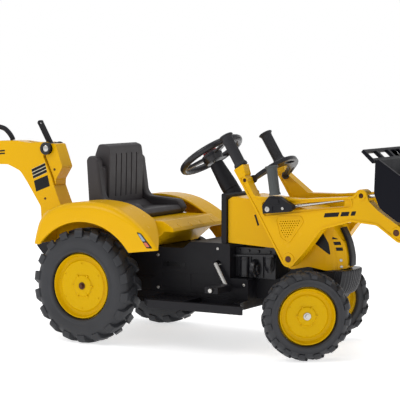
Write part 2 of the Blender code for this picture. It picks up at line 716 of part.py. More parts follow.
def kingpin(side, side_name):
    """The turning post with its stub axle and steering arm, drawn straight ahead on a turned axis."""
    pivot = empty(f"kingpin_axis_{side_name}", (WHEELBASE, side * KINGPIN_Y, 0),
                  (0, 0, STEER_ANGLE), ROOT)
    post = turned_mesh([(0, 0.176), (0.012, 0.176), (0.012, 0.1615), (0.0071, 0.1615), (0.0071, 0.1105),
                        (0.014, 0.1105), (0.014, 0.098), (0, 0.098)], 16)
    knuckle = place(f"steering_knuckle_{side_name}", post, "steel", (0, 0, 0), (0, 0, 0), pivot)
    height = FRONT_WHEEL_RADIUS
    foot = box_mesh((0.020, 0.034, 0.0120))
    foot.transform(Matrix.Translation((0, side * 0.017, 0.1043)))
    carrier = box_mesh((0.020, 0.0165, 0.029))
    carrier.transform(Matrix.Translation((0, side * 0.0258, 0.1135)))
    arm = box_mesh((STEERING_ARM + 0.008, 0.014, 0.006))
    arm.transform(Matrix.Translation((-STEERING_ARM / 2 - 0.002, 0, 0.0975)))
    peg = turned_mesh([(0, 0.099), (0.004, 0.099), (0.004, 0.078), (0, 0.078)], 12)
    stub_end = STUB_FACE - HUB_RECESS - 0.0005
    join(
        knuckle,
        place(f"foot_{side_name}", foot, None, (0, 0, 0), (0, 0, 0), pivot),
        place(f"carrier_{side_name}", carrier, None, (0, 0, 0), (0, 0, 0), pivot),
        rod(f"stub_{side_name}", None, (0, side * 0.02, height), (0, side * stub_end, height), 0.006,
            16, pivot),
        place(f"arm_{side_name}", arm, None, (0, 0, 0), (0, 0, 0), pivot),
        place(f"peg_{side_name}", peg, None, (-STEERING_ARM, 0, 0), (0, 0, 0), pivot),
    )
    wheel("front", side_name, side, FRONT_WHEEL_RADIUS, FRONT_TYRE_WIDTH, FRONT_RIM_RADIUS,
          0.006 + GAP, (0, 0, height), STUB_FACE, pivot)


def tie_rod():
    """A flat bar between the steering arms, with two prongs behind it for the shaft's crank."""
    x = WHEELBASE - STEERING_ARM * math.cos(STEER_ANGLE)
    shift = -STEERING_ARM * math.sin(STEER_ANGLE)
    z = TIE_ROD_Z
    bar = box("tie_rod", "steel", (x - 0.009, shift - KINGPIN_Y - 0.009, z - 0.003),
              (x + 0.009, shift + KINGPIN_Y + 0.009, z + 0.003))
    for prong in (-1, 1):
        y = shift + prong * 0.0115
        join(bar, box(f"prong_{prong}", None, (x - 0.063, y - 0.003, z - 0.0025),
                      (x - 0.008, y + 0.003, z + 0.0025)))
    for side in (-1, 1):
        y = shift + side * KINGPIN_Y
        cut(bar, rod(f"tie_bore_{side}", None, (x, y, z - 0.02), (x, y, z + 0.02), 0.0045, 12))


# ---------------------------------------------------------------- front loader


def arm_outline(left):
    """The loader arm from its grip socket, down to the pivot lobe and out to the bucket pin."""
    px, pz = LOADER_PIVOT
    bx, bz = BUCKET_PIVOT
    cx, cz = ARM_BOSS
    top_rear = [(0.441, 0.463, 0.002), (0.517, 0.405, 0.004)] if left else [
        (0.441, 0.463, 0.002), (0.472, 0.408, 0.012)]
    back = [(0.410, 0.474, 0.002), (0.437, 0.490, 0.002)]
    corners = back + top_rear + [(0.604, 0.4055, 0.02), (0.748, 0.417, 0.004)]
    corners += plain(arc((cx, cz), 0.016, 160, 10, 7))
    corners += [(cx + 0.021, cz - 0.013, 0.01), (0.817, 0.385, 0.01)]
    corners += plain(arc((bx + 0.010, bz - 0.006), 0.018, 60, -125, 7))
    corners += [(0.813, 0.348, 0.02), (0.745, 0.354, 0.03), (0.661, 0.330, 0.03),
                (0.622, 0.279, 0.02)]
    corners += plain(arc((px, pz), 0.0205, -30, -150, 6))
    corners += [(0.5325, 0.272, 0.02), (0.470, 0.378, 0.05)]
    return rounded(corners, 3)


def tilt_line(distance, offset=0.0):
    """A point along the slot in the right arm, measured from the tilt handle's rear bolt."""
    along = Vector((math.cos(TILT_SLOPE), math.sin(TILT_SLOPE)))
    across = Vector((-math.sin(TILT_SLOPE), math.cos(TILT_SLOPE)))
    point = Vector((0.519, 0.3775)) + along * distance + across * offset
    return point.x, point.y


def slot_outline(start, end, half):
    """A long box along the tilt line."""
    return strip(tilt_line(start), tilt_line(end), half)


def loader_arm(name, side):
    """A thick moulded arm. The right one has a slot for the tilt handle and a channel for its rod."""
    px, pz = LOADER_PIVOT
    bx, bz = BUCKET_PIVOT
    y_range = sorted((side * ARM_INNER_Y, side * ARM_OUTER_Y))
    holes = [circle((px, pz), PIN_BORE, 16), circle((bx, bz), PIN_BORE, 16)]
    arm = side_plate(name, "yellow_plastic", arm_outline(side > 0), y_range, holes, LOADER_PIVOT)
    if side > 0:
        return
    pocket = [tilt_line(-0.024, -0.018), tilt_line(0.226, -0.011), tilt_line(0.226, 0.011),
              tilt_line(-0.024, 0.020)]
    slot = slot_outline(-0.010, 0.206, 0.0082)
    rod_start = tilt_line(0.036)
    channel_end = (ROD_PIN[0] + 0.02, ROD_PIN[1] + 0.0014)
    channel = strip((rod_start[0], rod_start[1] - 0.0018), channel_end, 0.0085)
    cut(
        arm,
        side_plate("pocket", None, pocket, (-0.130, -0.1195)),
        side_plate("slot", None, slot, (-0.140, -0.080)),
        side_plate("rod_channel", None, channel, (-0.1185, -0.080)),
    )


def loader_grip(name, side):
    """A flanged grip that stands in the arm's socket."""
    profile = [(0, 0.092), (0.019, 0.092), (0.019, 0.086), (0.0145, 0.083), (0.0145, 0.006),
               (0.017, 0.004), (0.017, GAP), (0, GAP)]
    x, z = GRIP_SOCKET
    place(name, turned_mesh(profile, 18), "grip_rubber", (x - 0.003, side * ARM_MIDDLE_Y, z),
          (0, -GRIP_LEAN, 0))


def arm_brace():
    """The bowed brace between the arms, and the pins they turn on."""
    half = [
        (0.450, 0.086, 0.450), (0.462, 0.079, 0.462), (0.486, 0.064, 0.482),
        (0.502, 0.040, 0.493), (0.507, 0.0, 0.497),
    ]
    bow = smooth_path(half + [(x, -y, z) for x, y, z in reversed(half[:-1])], 3)
    foot = (half[0][0], ARM_INNER_Y - GAP, half[0][2])
    ends = [Vector(foot), Vector((foot[0], -foot[1], foot[2]))]
    tube("arm_brace", "black_plastic", [ends[0], *bow, ends[1]], 0.0115, 2)
    for name, (x, z) in (("loader_pivot_pin", LOADER_PIVOT), ("bucket_pivot_pin", BUCKET_PIVOT)):
        rod(name, "steel", (x, -ARM_OUTER_Y, z), (x, ARM_OUTER_Y, z), PIN_RADIUS, 16)


def tilt_handle():
    """A carriage that slides in the right arm's slot, its grip and the rod that tips the bucket."""
    outline = [tilt_line(-0.014, -0.0105), tilt_line(0.060, -0.0105), tilt_line(0.072, -0.004),
               tilt_line(0.072, 0.006), tilt_line(0.058, 0.014), (0.551, 0.411), (0.523, 0.411),
               tilt_line(-0.014, 0.010)]
    base = side_plate("tilt_handle_base", "black_plastic", outline, (-0.146, -0.1275))
    tongue = slot_outline(-0.008, 0.060, 0.0070)
    join(base, side_plate("tilt_tongue", None, tongue, (-0.128, -0.1175)))
    grip_foot = Vector((0.537, -0.137, 0.4135))
    grip_top = Vector((0.526, -0.137, 0.489))
    along = grip_top - grip_foot
    length = along.length
    profile = [(0, length), (0.017, length), (0.017, length - 0.006), (0.0135, length - 0.010),
               (0.013, 0), (0, 0)]
    place("tilt_grip", turned_mesh(profile, 16), "grey_grip", grip_foot,
          along.to_track_quat("Z", "Y").to_euler())
    start = tilt_line(0.040)
    shaft = rod("tilt_rod", "steel", (start[0], ROD_Y, start[1]), (ROD_PIN[0], ROD_Y, ROD_PIN[1]),
                0.0045, 12)
    pin = rod("rod_pin", None, (ROD_PIN[0], ROD_Y - 0.012, ROD_PIN[1]),
              (ROD_PIN[0], ROD_Y + 0.012, ROD_PIN[1]), 0.0035, 10)
    join(shaft, pin)


BUCKET_SIDE = [
    (0.846, 0.516, 0), (0.843, 0.434, 0.03), (0.858, 0.398, 0.03), (0.906, 0.366, 0.02),
    (1.078, 0.3655, 0), (1.078, 0.3715, 0), (1.050, 0.428, 0.01), (0.905, 0.478, 0.01),
]


def loader_bucket():
    """A scoop with side plates, pin ears between the arms and a slotted ear for the tilt rod."""
    outline = rounded(BUCKET_SIDE, 3)
    wide = BUCKET_HALF_WIDTH
    bucket = side_plate("loader_bucket", "black_plastic", outline, (-wide, wide), pivot=BUCKET_PIVOT)
    inner = rounded([
        (0.852, 0.560, 0), (0.849, 0.437, 0.03), (0.863, 0.404, 0.03), (0.908, 0.372, 0.02),
        (1.100, 0.3715, 0), (1.150, 0.560, 0),
    ], 3)
    cut(bucket, side_plate("bucket_hollow", None, inner, (-wide + WALL, wide - WALL)))
    bx, bz = BUCKET_PIVOT
    for side in (-1, 1):
        ear = [(0.874, 0.386), (0.914, 0.3675)] + arc((bx, bz), 0.015, 10, -190, 8)
        y_range = sorted((side * 0.076, side * 0.086))
        join(bucket, side_plate(f"pin_ear_{side}", None, ear, y_range))
        cut(bucket, rod(f"ear_bore_{side}", None, (bx, side * 0.07, bz), (bx, side * 0.09, bz),
                        PIN_BORE))
    away = (Vector(ROD_PIN) - Vector(BUCKET_PIVOT)).normalized()
    slot = strip(Vector(BUCKET_PIVOT) + away * 0.0905, Vector(BUCKET_PIVOT) + away * 0.1095, 0.0045)
    rod_ear = [(0.8460, 0.445), (0.8200, 0.4425), (0.8130, 0.432), (0.8230, 0.4100), (0.8500, 0.403)]
    for index, y in enumerate((ROD_Y - 0.0095, ROD_Y + 0.0095)):
        ear = side_plate(f"rod_ear_{index}", None, rod_ear, (y - 0.0022, y + 0.0022))
        join(bucket, cut(ear, side_plate(f"rod_slot_{index}", None, slot, (y - 0.01, y + 0.01))))


def spill_guard():
    """A leaning row of slats with a top bar, behind the bucket's rim."""
    slats = 6
    pitch = 2 * BUCKET_HALF_WIDTH / slats
    half_rail = 0.0075
    outline = [(-0.021, -BUCKET_HALF_WIDTH), (0.021, -BUCKET_HALF_WIDTH), (0.021, BUCKET_HALF_WIDTH),
               (-0.021, BUCKET_HALF_WIDTH)]
    holes = []
    for index in range(slats):
        low = -BUCKET_HALF_WIDTH + pitch * index + half_rail
        high = low + pitch - 2 * half_rail
        holes.append([(-0.012, low), (0.010, low), (0.010, high), (-0.012, high)])
    mesh = sheet_mesh([outline, *holes], 0.009)
    place("bucket_spill_guard", mesh, "black_plastic", (0.8262, 0, 0.5225), (0, math.radians(42), 0))


# ---------------------------------------------------------------- rear excavator


def swing_base():
    """The bracket behind the axle, with the post that the excavator swings on."""
    outline = rounded([(-0.2705, 0.235, 0.006), (-0.1955, 0.155, 0), (-0.1955, 0.2582, 0),
                       (-0.262, 0.268, 0.006), (-0.2705, 0.262, 0.004)], 2)
    bracket = side_plate("swing_base", "black_plastic", outline, (-0.060, 0.060))
    table = turned_mesh([(0, SWING_Z + 0.016), (0.012, SWING_Z + 0.016), (0.012, SWING_Z - GAP),
                         (0.034, SWING_Z - GAP), (0.034, 0.250), (0, 0.250)], 20)
    join(bracket, place("swing_table", table, None, (SWING_X, 0, 0)))


BOOM_TOP = [
    (-0.2295, 0.402, 0.02), (-0.240, 0.432, 0.01), (-0.268, 0.489, 0), (-0.250, 0.531, 0.012),
    (-0.317, 0.5275, 0.03), (-0.360, 0.532, 0.03), (-0.430, 0.531, 0.03), (-0.520, 0.523, 0.05),
    (-0.600, 0.496, 0.04),
]


def boom():
    """The gooseneck boom: a channel open underneath, from the swing table to the stick's pin."""
    sx, sz = STICK_PIVOT
    lower = [
        (-0.600, 0.437, 0.02), (-0.530, 0.460, 0.04), (-0.394, 0.463, 0.04), (-0.350, 0.445, 0.03),
        (-0.325, 0.413, 0.03), (-0.278, 0.345, 0.02),
    ]
    corners = BOOM_TOP + plain(arc((sx, sz), 0.024, 62, 240, 8)) + lower
    corners += plain([(-0.275, SWING_Z + GAP), (-0.205, SWING_Z + GAP), (-0.205, 0.345)])
    outline = rounded(corners, 3)
    half = BOOM_HALF_WIDTH
    shell = side_plate("boom", "yellow_plastic", outline, (-half, half), pivot=(SWING_X, SWING_Z))
    hollow = [
        (-0.3000, 0.323), (-0.232, 0.323), (-0.236, 0.400), (-0.246, 0.430), (-0.215, 0.440),
        (-0.228, 0.519), (-0.262, 0.522), (-0.317, 0.519), (-0.360, 0.524), (-0.430, 0.523),
        (-0.518, 0.515), (-0.596, 0.489), (-0.630, 0.484), (-0.700, 0.480), (-0.700, 0.400),
        (-0.400, 0.400),
    ]
    lx, lz = BOOM_LEVER_PIVOT
    cut(
        shell,
        side_plate("boom_hollow", None, hollow, (-0.0215, 0.0215)),
        box("lever_slot", None, (-0.340, -0.008, 0.500), (-0.238, 0.008, 0.560)),
        rod("lever_bore", None, (lx, -0.05, lz), (lx, 0.05, lz), 0.0172, 16),
        rod("stick_bore", None, (sx, -0.05, sz), (sx, 0.05, sz), PIN_BORE, 16),
        rod("swing_bore", None, (SWING_X, 0, 0.28), (SWING_X, 0, 0.33), 0.0125, 20),
    )


def boom_cover():
    """The cover behind the boom's lever pivot."""
    lx, lz = BOOM_LEVER_PIVOT
    outline = rounded([
        (-0.2275, 0.403, 0.003), (-0.2275, 0.424, 0.01), (-0.204, 0.460, 0.008), (-0.217, 0.495, 0.02),
        (-0.229, 0.526, 0.006), (-0.2445, 0.526, 0.003), (-0.2625, 0.4895, 0.002),
        (-0.2365, 0.433, 0.003),
    ], 2)
    hollow = [(-0.2750, 0.426), (-0.2325, 0.426), (-0.2110, 0.459), (-0.2235, 0.492), (-0.2350, 0.519),
              (-0.2750, 0.519)]
    cover = side_plate("boom_rear_cover", "yellow_plastic", outline, (-0.025, 0.025))
    cut(
        cover,
        side_plate("cover_hollow", None, hollow, (-0.0185, 0.0185)),
        rod("cover_clearance", None, (lx, -0.05, lz), (lx, 0.05, lz), 0.0180, 16),
    )


def boom_handle():
    """The fixed tube handle on top of the boom."""
    points = [
        (-0.400, 0, 0.5380), (-0.413, 0, 0.554), (-0.428, 0, 0.566), (-0.450, 0, 0.5705),
        (-0.500, 0, 0.5690), (-0.522, 0, 0.562), (-0.532, 0, 0.548), (-0.536, 0, 0.5245),
    ]
    tube("boom_handle", "black_plastic", points, 0.0072, 2)


def stick_linkage():
    """The control lever, its drive rod inside the boom, the stick and its bucket."""
    lx, lz = BOOM_LEVER_PIVOT
    sx, sz = STICK_PIVOT
    grip_end = Vector((-0.297, 0.583))
    pivot = Vector(BOOM_LEVER_PIVOT)
    crank = pivot + Vector(LEVER_CRANK)
    lean = math.degrees(math.atan2(grip_end.y - lz, grip_end.x - lx))
    shaft = strip(pivot, grip_end, 0.0072)
    eye = arc(tuple(grip_end), 0.009, lean - 60, lean + 60, 8)
    outline = [shaft[0], shaft[1], *eye, shaft[2], shaft[3]]
    lever = side_plate("stick_lever", "black_plastic", outline, (-0.0050, 0.0050),
                       [circle(tuple(grip_end), 0.0045, 12)], BOOM_LEVER_PIVOT)
    barrel = rod("lever_barrel", None, (lx, -0.034, lz), (lx, 0.034, lz), 0.0165, 20)
    crank_outline = strip(pivot, crank + Vector((0, -0.006)), 0.006)
    crank_arm = side_plate("lever_crank", None, crank_outline, (-0.005, 0.005))
    crank_pin = rod("lever_crank_pin", None, (crank.x, 0, crank.y), (crank.x, 0.016, crank.y),
                    0.004, 10)
    join(lever, barrel, crank_arm, crank_pin)
    far = Vector((sx, sz)) + Vector(LEVER_CRANK)
    end = far - crank
    bow = [
        (0.010, -0.006), (0.010, 0.008), (-0.050, 0.013), (-0.250, 0.0235), (-0.285, 0.010),
        (end.x + 0.039, end.y + 0.017), (end.x - 0.010, end.y + 0.010), (end.x - 0.010, end.y - 0.009),
        (end.x + 0.006, end.y - 0.009), (end.x + 0.049, end.y + 0.005), (-0.277, -0.004),
        (-0.245, 0.0085), (-0.050, -0.003),
    ]
    outline = rounded([(crank.x + x, crank.y + z, 0.008) for x, z in bow], 2)
    holes = [circle((crank.x, crank.y), 0.0045, 10), circle((far.x, far.y), 0.0045, 10)]
    side_plate("stick_drive_rod", "steel", outline, (0.0080, 0.0130), holes, (crank.x, crank.y))


def stick():
    """The stick, with a crank ear for the drive rod and pins at both ends."""
    sx, sz = STICK_PIVOT
    bx, bz = DIGGER_BUCKET_PIVOT
    far = Vector((sx, sz)) + Vector(LEVER_CRANK)
    outline = arc((sx, sz), 0.020, 20, 190, 8)
    outline += [(sx - 0.017, sz - 0.060), (bx - 0.016, bz + 0.020)]
    outline += arc((bx, bz), 0.016, 180, 360, 8)
    outline += [(bx + 0.016, bz + 0.030), (sx + 0.030, sz - 0.070), (sx + 0.034, sz - 0.040)]
    body = side_plate("dipper_stick", "yellow_plastic", outline, (-0.0190, 0.0060), (), STICK_PIVOT)
    join(
        body,
        rod("stick_pin", None, (sx, -0.0335, sz), (sx, 0.0335, sz), PIN_RADIUS, 16),
        rod("stick_crank_pin", None, (far.x, 0, far.y), (far.x, 0.0155, far.y), 0.004, 10),
        rod("stick_bucket_pin", None, (bx, -0.0300, bz), (bx, 0.0300, bz), 0.007, 14),
    )


def digger_bucket():
    """A narrow toothed scoop hung between two ears."""
    bx, bz = DIGGER_BUCKET_PIVOT
    wide = DIGGER_BUCKET_HALF_WIDTH
    outline = rounded([
        (bx - 0.048, bz - 0.022, 0.004), (bx + 0.026, bz - 0.022, 0.02), (bx + 0.050, bz - 0.055, 0.03),
        (bx + 0.046, bz - 0.110, 0.03), (bx + 0.010, bz - 0.132, 0.03), (bx - 0.050, bz - 0.128, 0.004),
    ], 4)
    bucket = side_plate("digger_bucket", "black_plastic", outline, (-wide, wide),
                        pivot=DIGGER_BUCKET_PIVOT)
    hollow = rounded([
        (bx - 0.120, bz - 0.028, 0), (bx + 0.022, bz - 0.028, 0.02), (bx + 0.044, bz - 0.057, 0.03),
        (bx + 0.040, bz - 0.106, 0.03), (bx + 0.008, bz - 0.126, 0.03), (bx - 0.120, bz - 0.120, 0),
    ], 4)
    cut(bucket, side_plate("digger_hollow", None, hollow, (-wide + WALL, wide - WALL)))
    for side in (-1, 1):
        ear = [(bx - 0.030, bz - 0.024), (bx + 0.030, bz - 0.024)] + arc((bx, bz), 0.014, 20, 160, 6)
        y_range = sorted((side * 0.0225, side * 0.0285))
        join(bucket, side_plate(f"digger_ear_{side}", None, ear, y_range))
        cut(bucket, rod(f"digger_ear_bore_{side}", None, (bx, side * 0.02, bz), (bx, side * 0.032, bz),
                        0.0074, 14))
    for index in range(4):
        y = -0.0435 + 0.029 * index
        tooth = [(bx - 0.040, bz - 0.1285), (bx - 0.072, bz - 0.130), (bx - 0.072, bz - 0.127),
                 (bx - 0.040, bz - 0.1200)]
        join(bucket, side_plate(f"tooth_{index}", None, tooth, (y - 0.006, y + 0.006)))


def build():
    """Every piece of the digger, from the chassis outwards."""
    chassis()
    axle_beam()
    running_board("running_board_right", -1)
    running_board("running_board_left", 1)
    engine_block()
    dashboard()
    hood()
    grille()
    bumper()
    rear_deck()
    mudguard("mudguard_right", -1)
    mudguard("mudguard_left", 1)
    seat()
    rear_wheels()
    pedals()
    chain()
    steering_gear()
    kingpin(-1, "right")
    kingpin(1, "left")
    tie_rod()
    loader_arm("loader_arm_right", -1)
    loader_arm("loader_arm_left", 1)
    loader_grip("loader_grip_right", -1)
    loader_grip("loader_grip_left", 1)
    arm_brace()
    tilt_handle()
    loader_bucket()
    spill_guard()
    swing_base()
    boom()
    boom_cover()
    boom_handle()
    stick_linkage()
    stick()
    digger_bucket()


build()
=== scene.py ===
"""Ride-on pedal digger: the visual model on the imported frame.

Shapes are written in metres from the rear axle's centre line on the ground, as the CAD is: X forwards,
Y to the driver's left, Z up. piece() moves each finished mesh into the row frame.
"""

import json
import math

import bmesh
import bpy
from mathutils import Matrix, Vector

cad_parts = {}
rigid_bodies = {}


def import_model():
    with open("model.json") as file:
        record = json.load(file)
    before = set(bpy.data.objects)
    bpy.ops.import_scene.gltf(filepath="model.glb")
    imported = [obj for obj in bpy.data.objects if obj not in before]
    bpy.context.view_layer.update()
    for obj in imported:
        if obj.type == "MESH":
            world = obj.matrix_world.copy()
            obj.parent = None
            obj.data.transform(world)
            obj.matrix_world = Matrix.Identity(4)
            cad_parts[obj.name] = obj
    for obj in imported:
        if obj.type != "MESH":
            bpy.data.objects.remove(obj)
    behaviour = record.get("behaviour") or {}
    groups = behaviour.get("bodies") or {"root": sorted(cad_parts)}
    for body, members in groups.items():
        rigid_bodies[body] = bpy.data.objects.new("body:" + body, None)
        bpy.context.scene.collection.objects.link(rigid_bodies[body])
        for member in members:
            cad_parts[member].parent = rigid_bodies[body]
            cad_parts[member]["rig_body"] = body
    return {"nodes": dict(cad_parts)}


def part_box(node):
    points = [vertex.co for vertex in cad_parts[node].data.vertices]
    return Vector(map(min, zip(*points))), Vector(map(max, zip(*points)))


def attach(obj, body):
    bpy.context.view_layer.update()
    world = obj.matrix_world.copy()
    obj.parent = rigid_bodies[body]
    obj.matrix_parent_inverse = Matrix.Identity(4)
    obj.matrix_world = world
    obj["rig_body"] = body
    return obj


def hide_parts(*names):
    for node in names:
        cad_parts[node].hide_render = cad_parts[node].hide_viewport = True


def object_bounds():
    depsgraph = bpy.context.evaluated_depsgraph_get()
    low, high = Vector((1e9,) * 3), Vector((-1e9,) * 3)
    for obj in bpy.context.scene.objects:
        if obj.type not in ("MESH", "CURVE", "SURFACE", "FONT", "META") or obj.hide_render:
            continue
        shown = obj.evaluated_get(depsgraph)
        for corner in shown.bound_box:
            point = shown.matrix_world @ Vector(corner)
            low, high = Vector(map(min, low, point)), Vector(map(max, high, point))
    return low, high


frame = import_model()
CAD_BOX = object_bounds()
NODES = frame["nodes"]
AXLE_X = sum(corner.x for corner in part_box("rear_axle")) / 2

SCENE = bpy.context.scene
SIDES = ((-1, "right"), (1, "left"))

# Dimensions shared with the CAD. Places are (x, z) unless a comment says otherwise.
REAR_RADIUS, FRONT_RADIUS = 0.155, 0.114
REAR_FACE = 0.241  # the rear tyre's outer face, from the middle
FRONT_FACE = 0.102  # the front tyre's outer face, from its kingpin
STEER = math.radians(38)  # the front wheels' turn at rest
KINGPIN = (0.592, 0.100)  # (x, y)
LEAN = math.radians(34)  # the steering column's lean
WHEEL_CENTRE = Vector((0.271, 0.0, 0.505))  # the steering wheel's centre
CRANK = (0.345, 0.222)
PIVOT = (0.569, 0.250)  # where the loader turns on the frame
BUCKET_PIN = (0.866, 0.332)
ROD_PIN = (0.826, 0.4245)  # the tilt rod's front end
BOSS = (0.771, 0.420)  # the round boss on each loader arm
REAR_BOSS = (0.442, 0.448)  # where the brace is screwed to each arm
ARM_IN, ARM_OUT, ARM_MID = 0.094, 0.126, 0.110
LEVER = (-0.256, 0.512)


# ---------------------------------------------------------------- materials


def surface(name, colour, roughness, grain, mottle, metallic=0.0, specular=0.5, scuff=0.10,
            waves=(7.0, 0.0006)):
    """A moulded or metal finish: fine grain, slow unevenness, colour drift and rubbed patches.

    grain and waves are each (noise scale, height in metres). mottle is the colour's drift either way.
    """
    material = bpy.data.materials.new(name)
    material.use_nodes = True
    nodes, links = material.node_tree.nodes, material.node_tree.links
    shader = nodes["Principled BSDF"]
    shader.inputs["Metallic"].default_value = metallic
    shader.inputs["Specular IOR Level"].default_value = specular
    place = nodes.new("ShaderNodeTexCoord")

    def noise(scale, detail, rough=0.5):
        node = nodes.new("ShaderNodeTexNoise")
        node.inputs["Scale"].default_value = scale
        node.inputs["Detail"].default_value = detail
        node.inputs["Roughness"].default_value = rough
        links.new(place.outputs["Object"], node.inputs["Vector"])
        return node.outputs["Fac"]

    drift = noise(5.0, 3.0)
    rub = noise(34.0, 6.0, 0.65)
    fine = noise(grain[0], 2.0)
    slow = noise(waves[0], 1.0)
    tint = nodes.new("ShaderNodeValToRGB")
    tint.color_ramp.elements[0].position = 0.30
    tint.color_ramp.elements[1].position = 0.70
    low = [c * (1 - mottle) for c in colour]
    high = [min(1.0, c * (1 + mottle)) for c in colour]
    tint.color_ramp.elements[0].color = (*low, 1)
    tint.color_ramp.elements[1].color = (*high, 1)
    links.new(drift, tint.inputs["Fac"])
    links.new(tint.outputs["Color"], shader.inputs["Base Color"])
    wear = nodes.new("ShaderNodeMapRange")
    wear.inputs["From Min"].default_value = 0.35
    wear.inputs["From Max"].default_value = 0.75
    wear.inputs["To Min"].default_value = max(0.03, roughness - scuff * 0.4)
    wear.inputs["To Max"].default_value = min(1.0, roughness + scuff)
    links.new(rub, wear.inputs["Value"])
    links.new(wear.outputs["Result"], shader.inputs["Roughness"])
    broad = nodes.new("ShaderNodeBump")
    broad.inputs["Strength"].default_value = 0.5
    broad.inputs["Distance"].default_value = waves[1]
    links.new(slow, broad.inputs["Height"])
    bump = nodes.new("ShaderNodeBump")
    bump.inputs["Strength"].default_value = 0.8
    bump.inputs["Distance"].default_value = grain[1]
    links.new(fine, bump.inputs["Height"])
    links.new(broad.outputs["Normal"], bump.inputs["Normal"])
    links.new(bump.outputs["Normal"], shader.inputs["Normal"])
    return material


YELLOW = surface("yellow_moulded", (0.73, 0.400, 0.0008), 0.25, (700, 0.00003), 0.03,
                 specular=0.14, scuff=0.04, waves=(5.0, 0.0003))
RIM = surface("rim_moulded", (0.63, 0.375, 0.0006), 0.28, (700, 0.00004), 0.04,
              specular=0.08, scuff=0.05)
BLACK = surface("black_moulded", (0.0075, 0.0072, 0.0095), 0.42, (1300, 0.00010), 0.15,
                specular=0.22)
SATIN = surface("black_satin", (0.012, 0.012, 0.015), 0.30, (900, 0.00005), 0.10,
                specular=0.40)
BUCKET = surface("bucket_black", (0.0032, 0.0034, 0.0068), 0.36, (1500, 0.00009), 0.15,
                 specular=0.11)
TYRE = surface("tyre_moulded", (0.026, 0.027, 0.031), 0.46, (1000, 0.00012), 0.18,
               scuff=0.16, specular=0.35)
SEAT = surface("seat_moulded", (0.034, 0.030, 0.032), 0.46, (1100, 0.00016), 0.10,
               specular=0.35)
RUBBER = surface("grip_rubber", (0.020, 0.020, 0.023), 0.55, (1600, 0.00012), 0.12,
                 specular=0.3)
GREY = surface("grey_grip", (0.070, 0.077, 0.077), 0.52, (1500, 0.00012), 0.10, specular=0.3)
RED = surface("red_moulded", (0.55, 0.008, 0.010), 0.24, (700, 0.00004), 0.05)
STEEL = surface("zinc_steel", (0.50, 0.49, 0.47), 0.26, (2400, 0.00003), 0.08, metallic=1.0,
                scuff=0.18)
BRONZE = surface("screw_brown", (0.085, 0.030, 0.014), 0.34, (2000, 0.00003), 0.15, metallic=0.6)
# Near-black print for the decals, and also the painted shade on the plugs in the hood's openings.
INK_AND_SHADE = surface("decal_black_and_painted_shade", (0.006, 0.006, 0.007), 0.28, (500, 0.00001), 0.04, specular=0.2)
CREAM = surface("decal_cream", (0.66, 0.60, 0.42), 0.30, (500, 0.00001), 0.04)
SKY = surface("decal_blue_grey", (0.25, 0.32, 0.40), 0.28, (500, 0.00001), 0.06)
CORAL = surface("decal_coral", (0.56, 0.12, 0.06), 0.28, (500, 0.00001), 0.06)


# ---------------------------------------------------------------- outlines


def arc(centre, radius, start, end, steps=12):
    points = []
    for step in range(steps + 1):
        angle = math.radians(start + (end - start) * step / steps)
        points.append((centre[0] + radius * math.cos(angle), centre[1] + radius * math.sin(angle)))
    return points


def rounded(corners, steps=5):
    """A closed outline whose corners (x, z, radius) are rounded where the radius isn't zero."""
    points = []
    count = len(corners)
    for index, (x, z, radius) in enumerate(corners):
        corner = Vector((x, z))
        before = Vector(corners[index - 1][:2]) - corner
        after = Vector(corners[(index + 1) % count][:2]) - corner
        if radius <= 0:
            points.append((x, z))
            continue
        half = before.angle(after) / 2
        reach = min(radius / math.tan(half), 0.49 * before.length, 0.49 * after.length)
        first = corner + before.normalized() * reach
        last = corner + after.normalized() * reach
        for step in range(steps + 1):
            share = step / steps
            points.append(tuple(first.lerp(corner, share).lerp(corner.lerp(last, share), share)))
    return points


def plain(points):
    return [(x, z, 0) for x, z in points]


def fillet(points, radius, steps=5):
    return rounded([(x, z, radius) for x, z in points], steps)


def oblong(x0, x1, z0, z1):
    return [(x0, z0), (x1, z0), (x1, z1), (x0, z1)]


def strip(start, end, half):
    """A bar's outline, from its middle line and half its width."""
    along = (Vector(end) - Vector(start)).normalized()
    across = Vector((-along.y, along.x)) * half
    a, b = Vector(start), Vector(end)
    return [tuple(a - across), tuple(b - across), tuple(b + across), tuple(a + across)]


def signed_area(points):
    """Twice the outline's area, negative where it runs clockwise."""
    return sum(a[0] * b[1] - b[0] * a[1] for a, b in zip(points, points[1:] + points[:1]))


def inset(points, distance):
    """The outline moved inwards by distance, corner by corner."""
    turn = 1 if signed_area(points) > 0 else -1
    moved = []
    count = len(points)
    for index, point in enumerate(points):
        here = Vector(point)
        before = (here - Vector(points[index - 1])).normalized()
        after = (Vector(points[(index + 1) % count]) - here).normalized()
        normal_before = Vector((-before.y, before.x)) * turn
        normal_after = Vector((-after.y, after.x)) * turn
        middle = (normal_before + normal_after).normalized()
        moved.append(tuple(here + middle * distance / max(0.3, middle.dot(normal_after))))
    return moved


def crossing(a, b, c, d):
    """Where two edges cross, or None."""
    r, t, gap = Vector(b) - Vector(a), Vector(d) - Vector(c), Vector(c) - Vector(a)
    base = r.x * t.y - r.y * t.x
    if abs(base) < 1e-14:
        return None
    u, v = (gap.x * t.y - gap.y * t.x) / base, (gap.x * r.y - gap.y * r.x) / base
    return tuple(Vector(a) + r * u) if 0 < u < 1 and 0 < v < 1 else None


def first_crossing(points):
    count = len(points)
    for i in range(count):
        for j in range(i + 2, count - (i == 0)):
            at = crossing(points[i], points[i + 1], points[j], points[(j + 1) % count])
            if at:
                return i, j, at
    return None


def safe_inset(points, distance):
    """An inset whose loops at tight corners are cut off."""
    found = inset(points, distance)
    while True:
        hit = first_crossing(found)
        if not hit:
            return found
        i, j, at = hit
        loops = [found[i + 1 : j + 1] + [at], found[: i + 1] + [at] + found[j + 1 :]]
        found = max(loops, key=lambda loop: abs(signed_area(loop)))


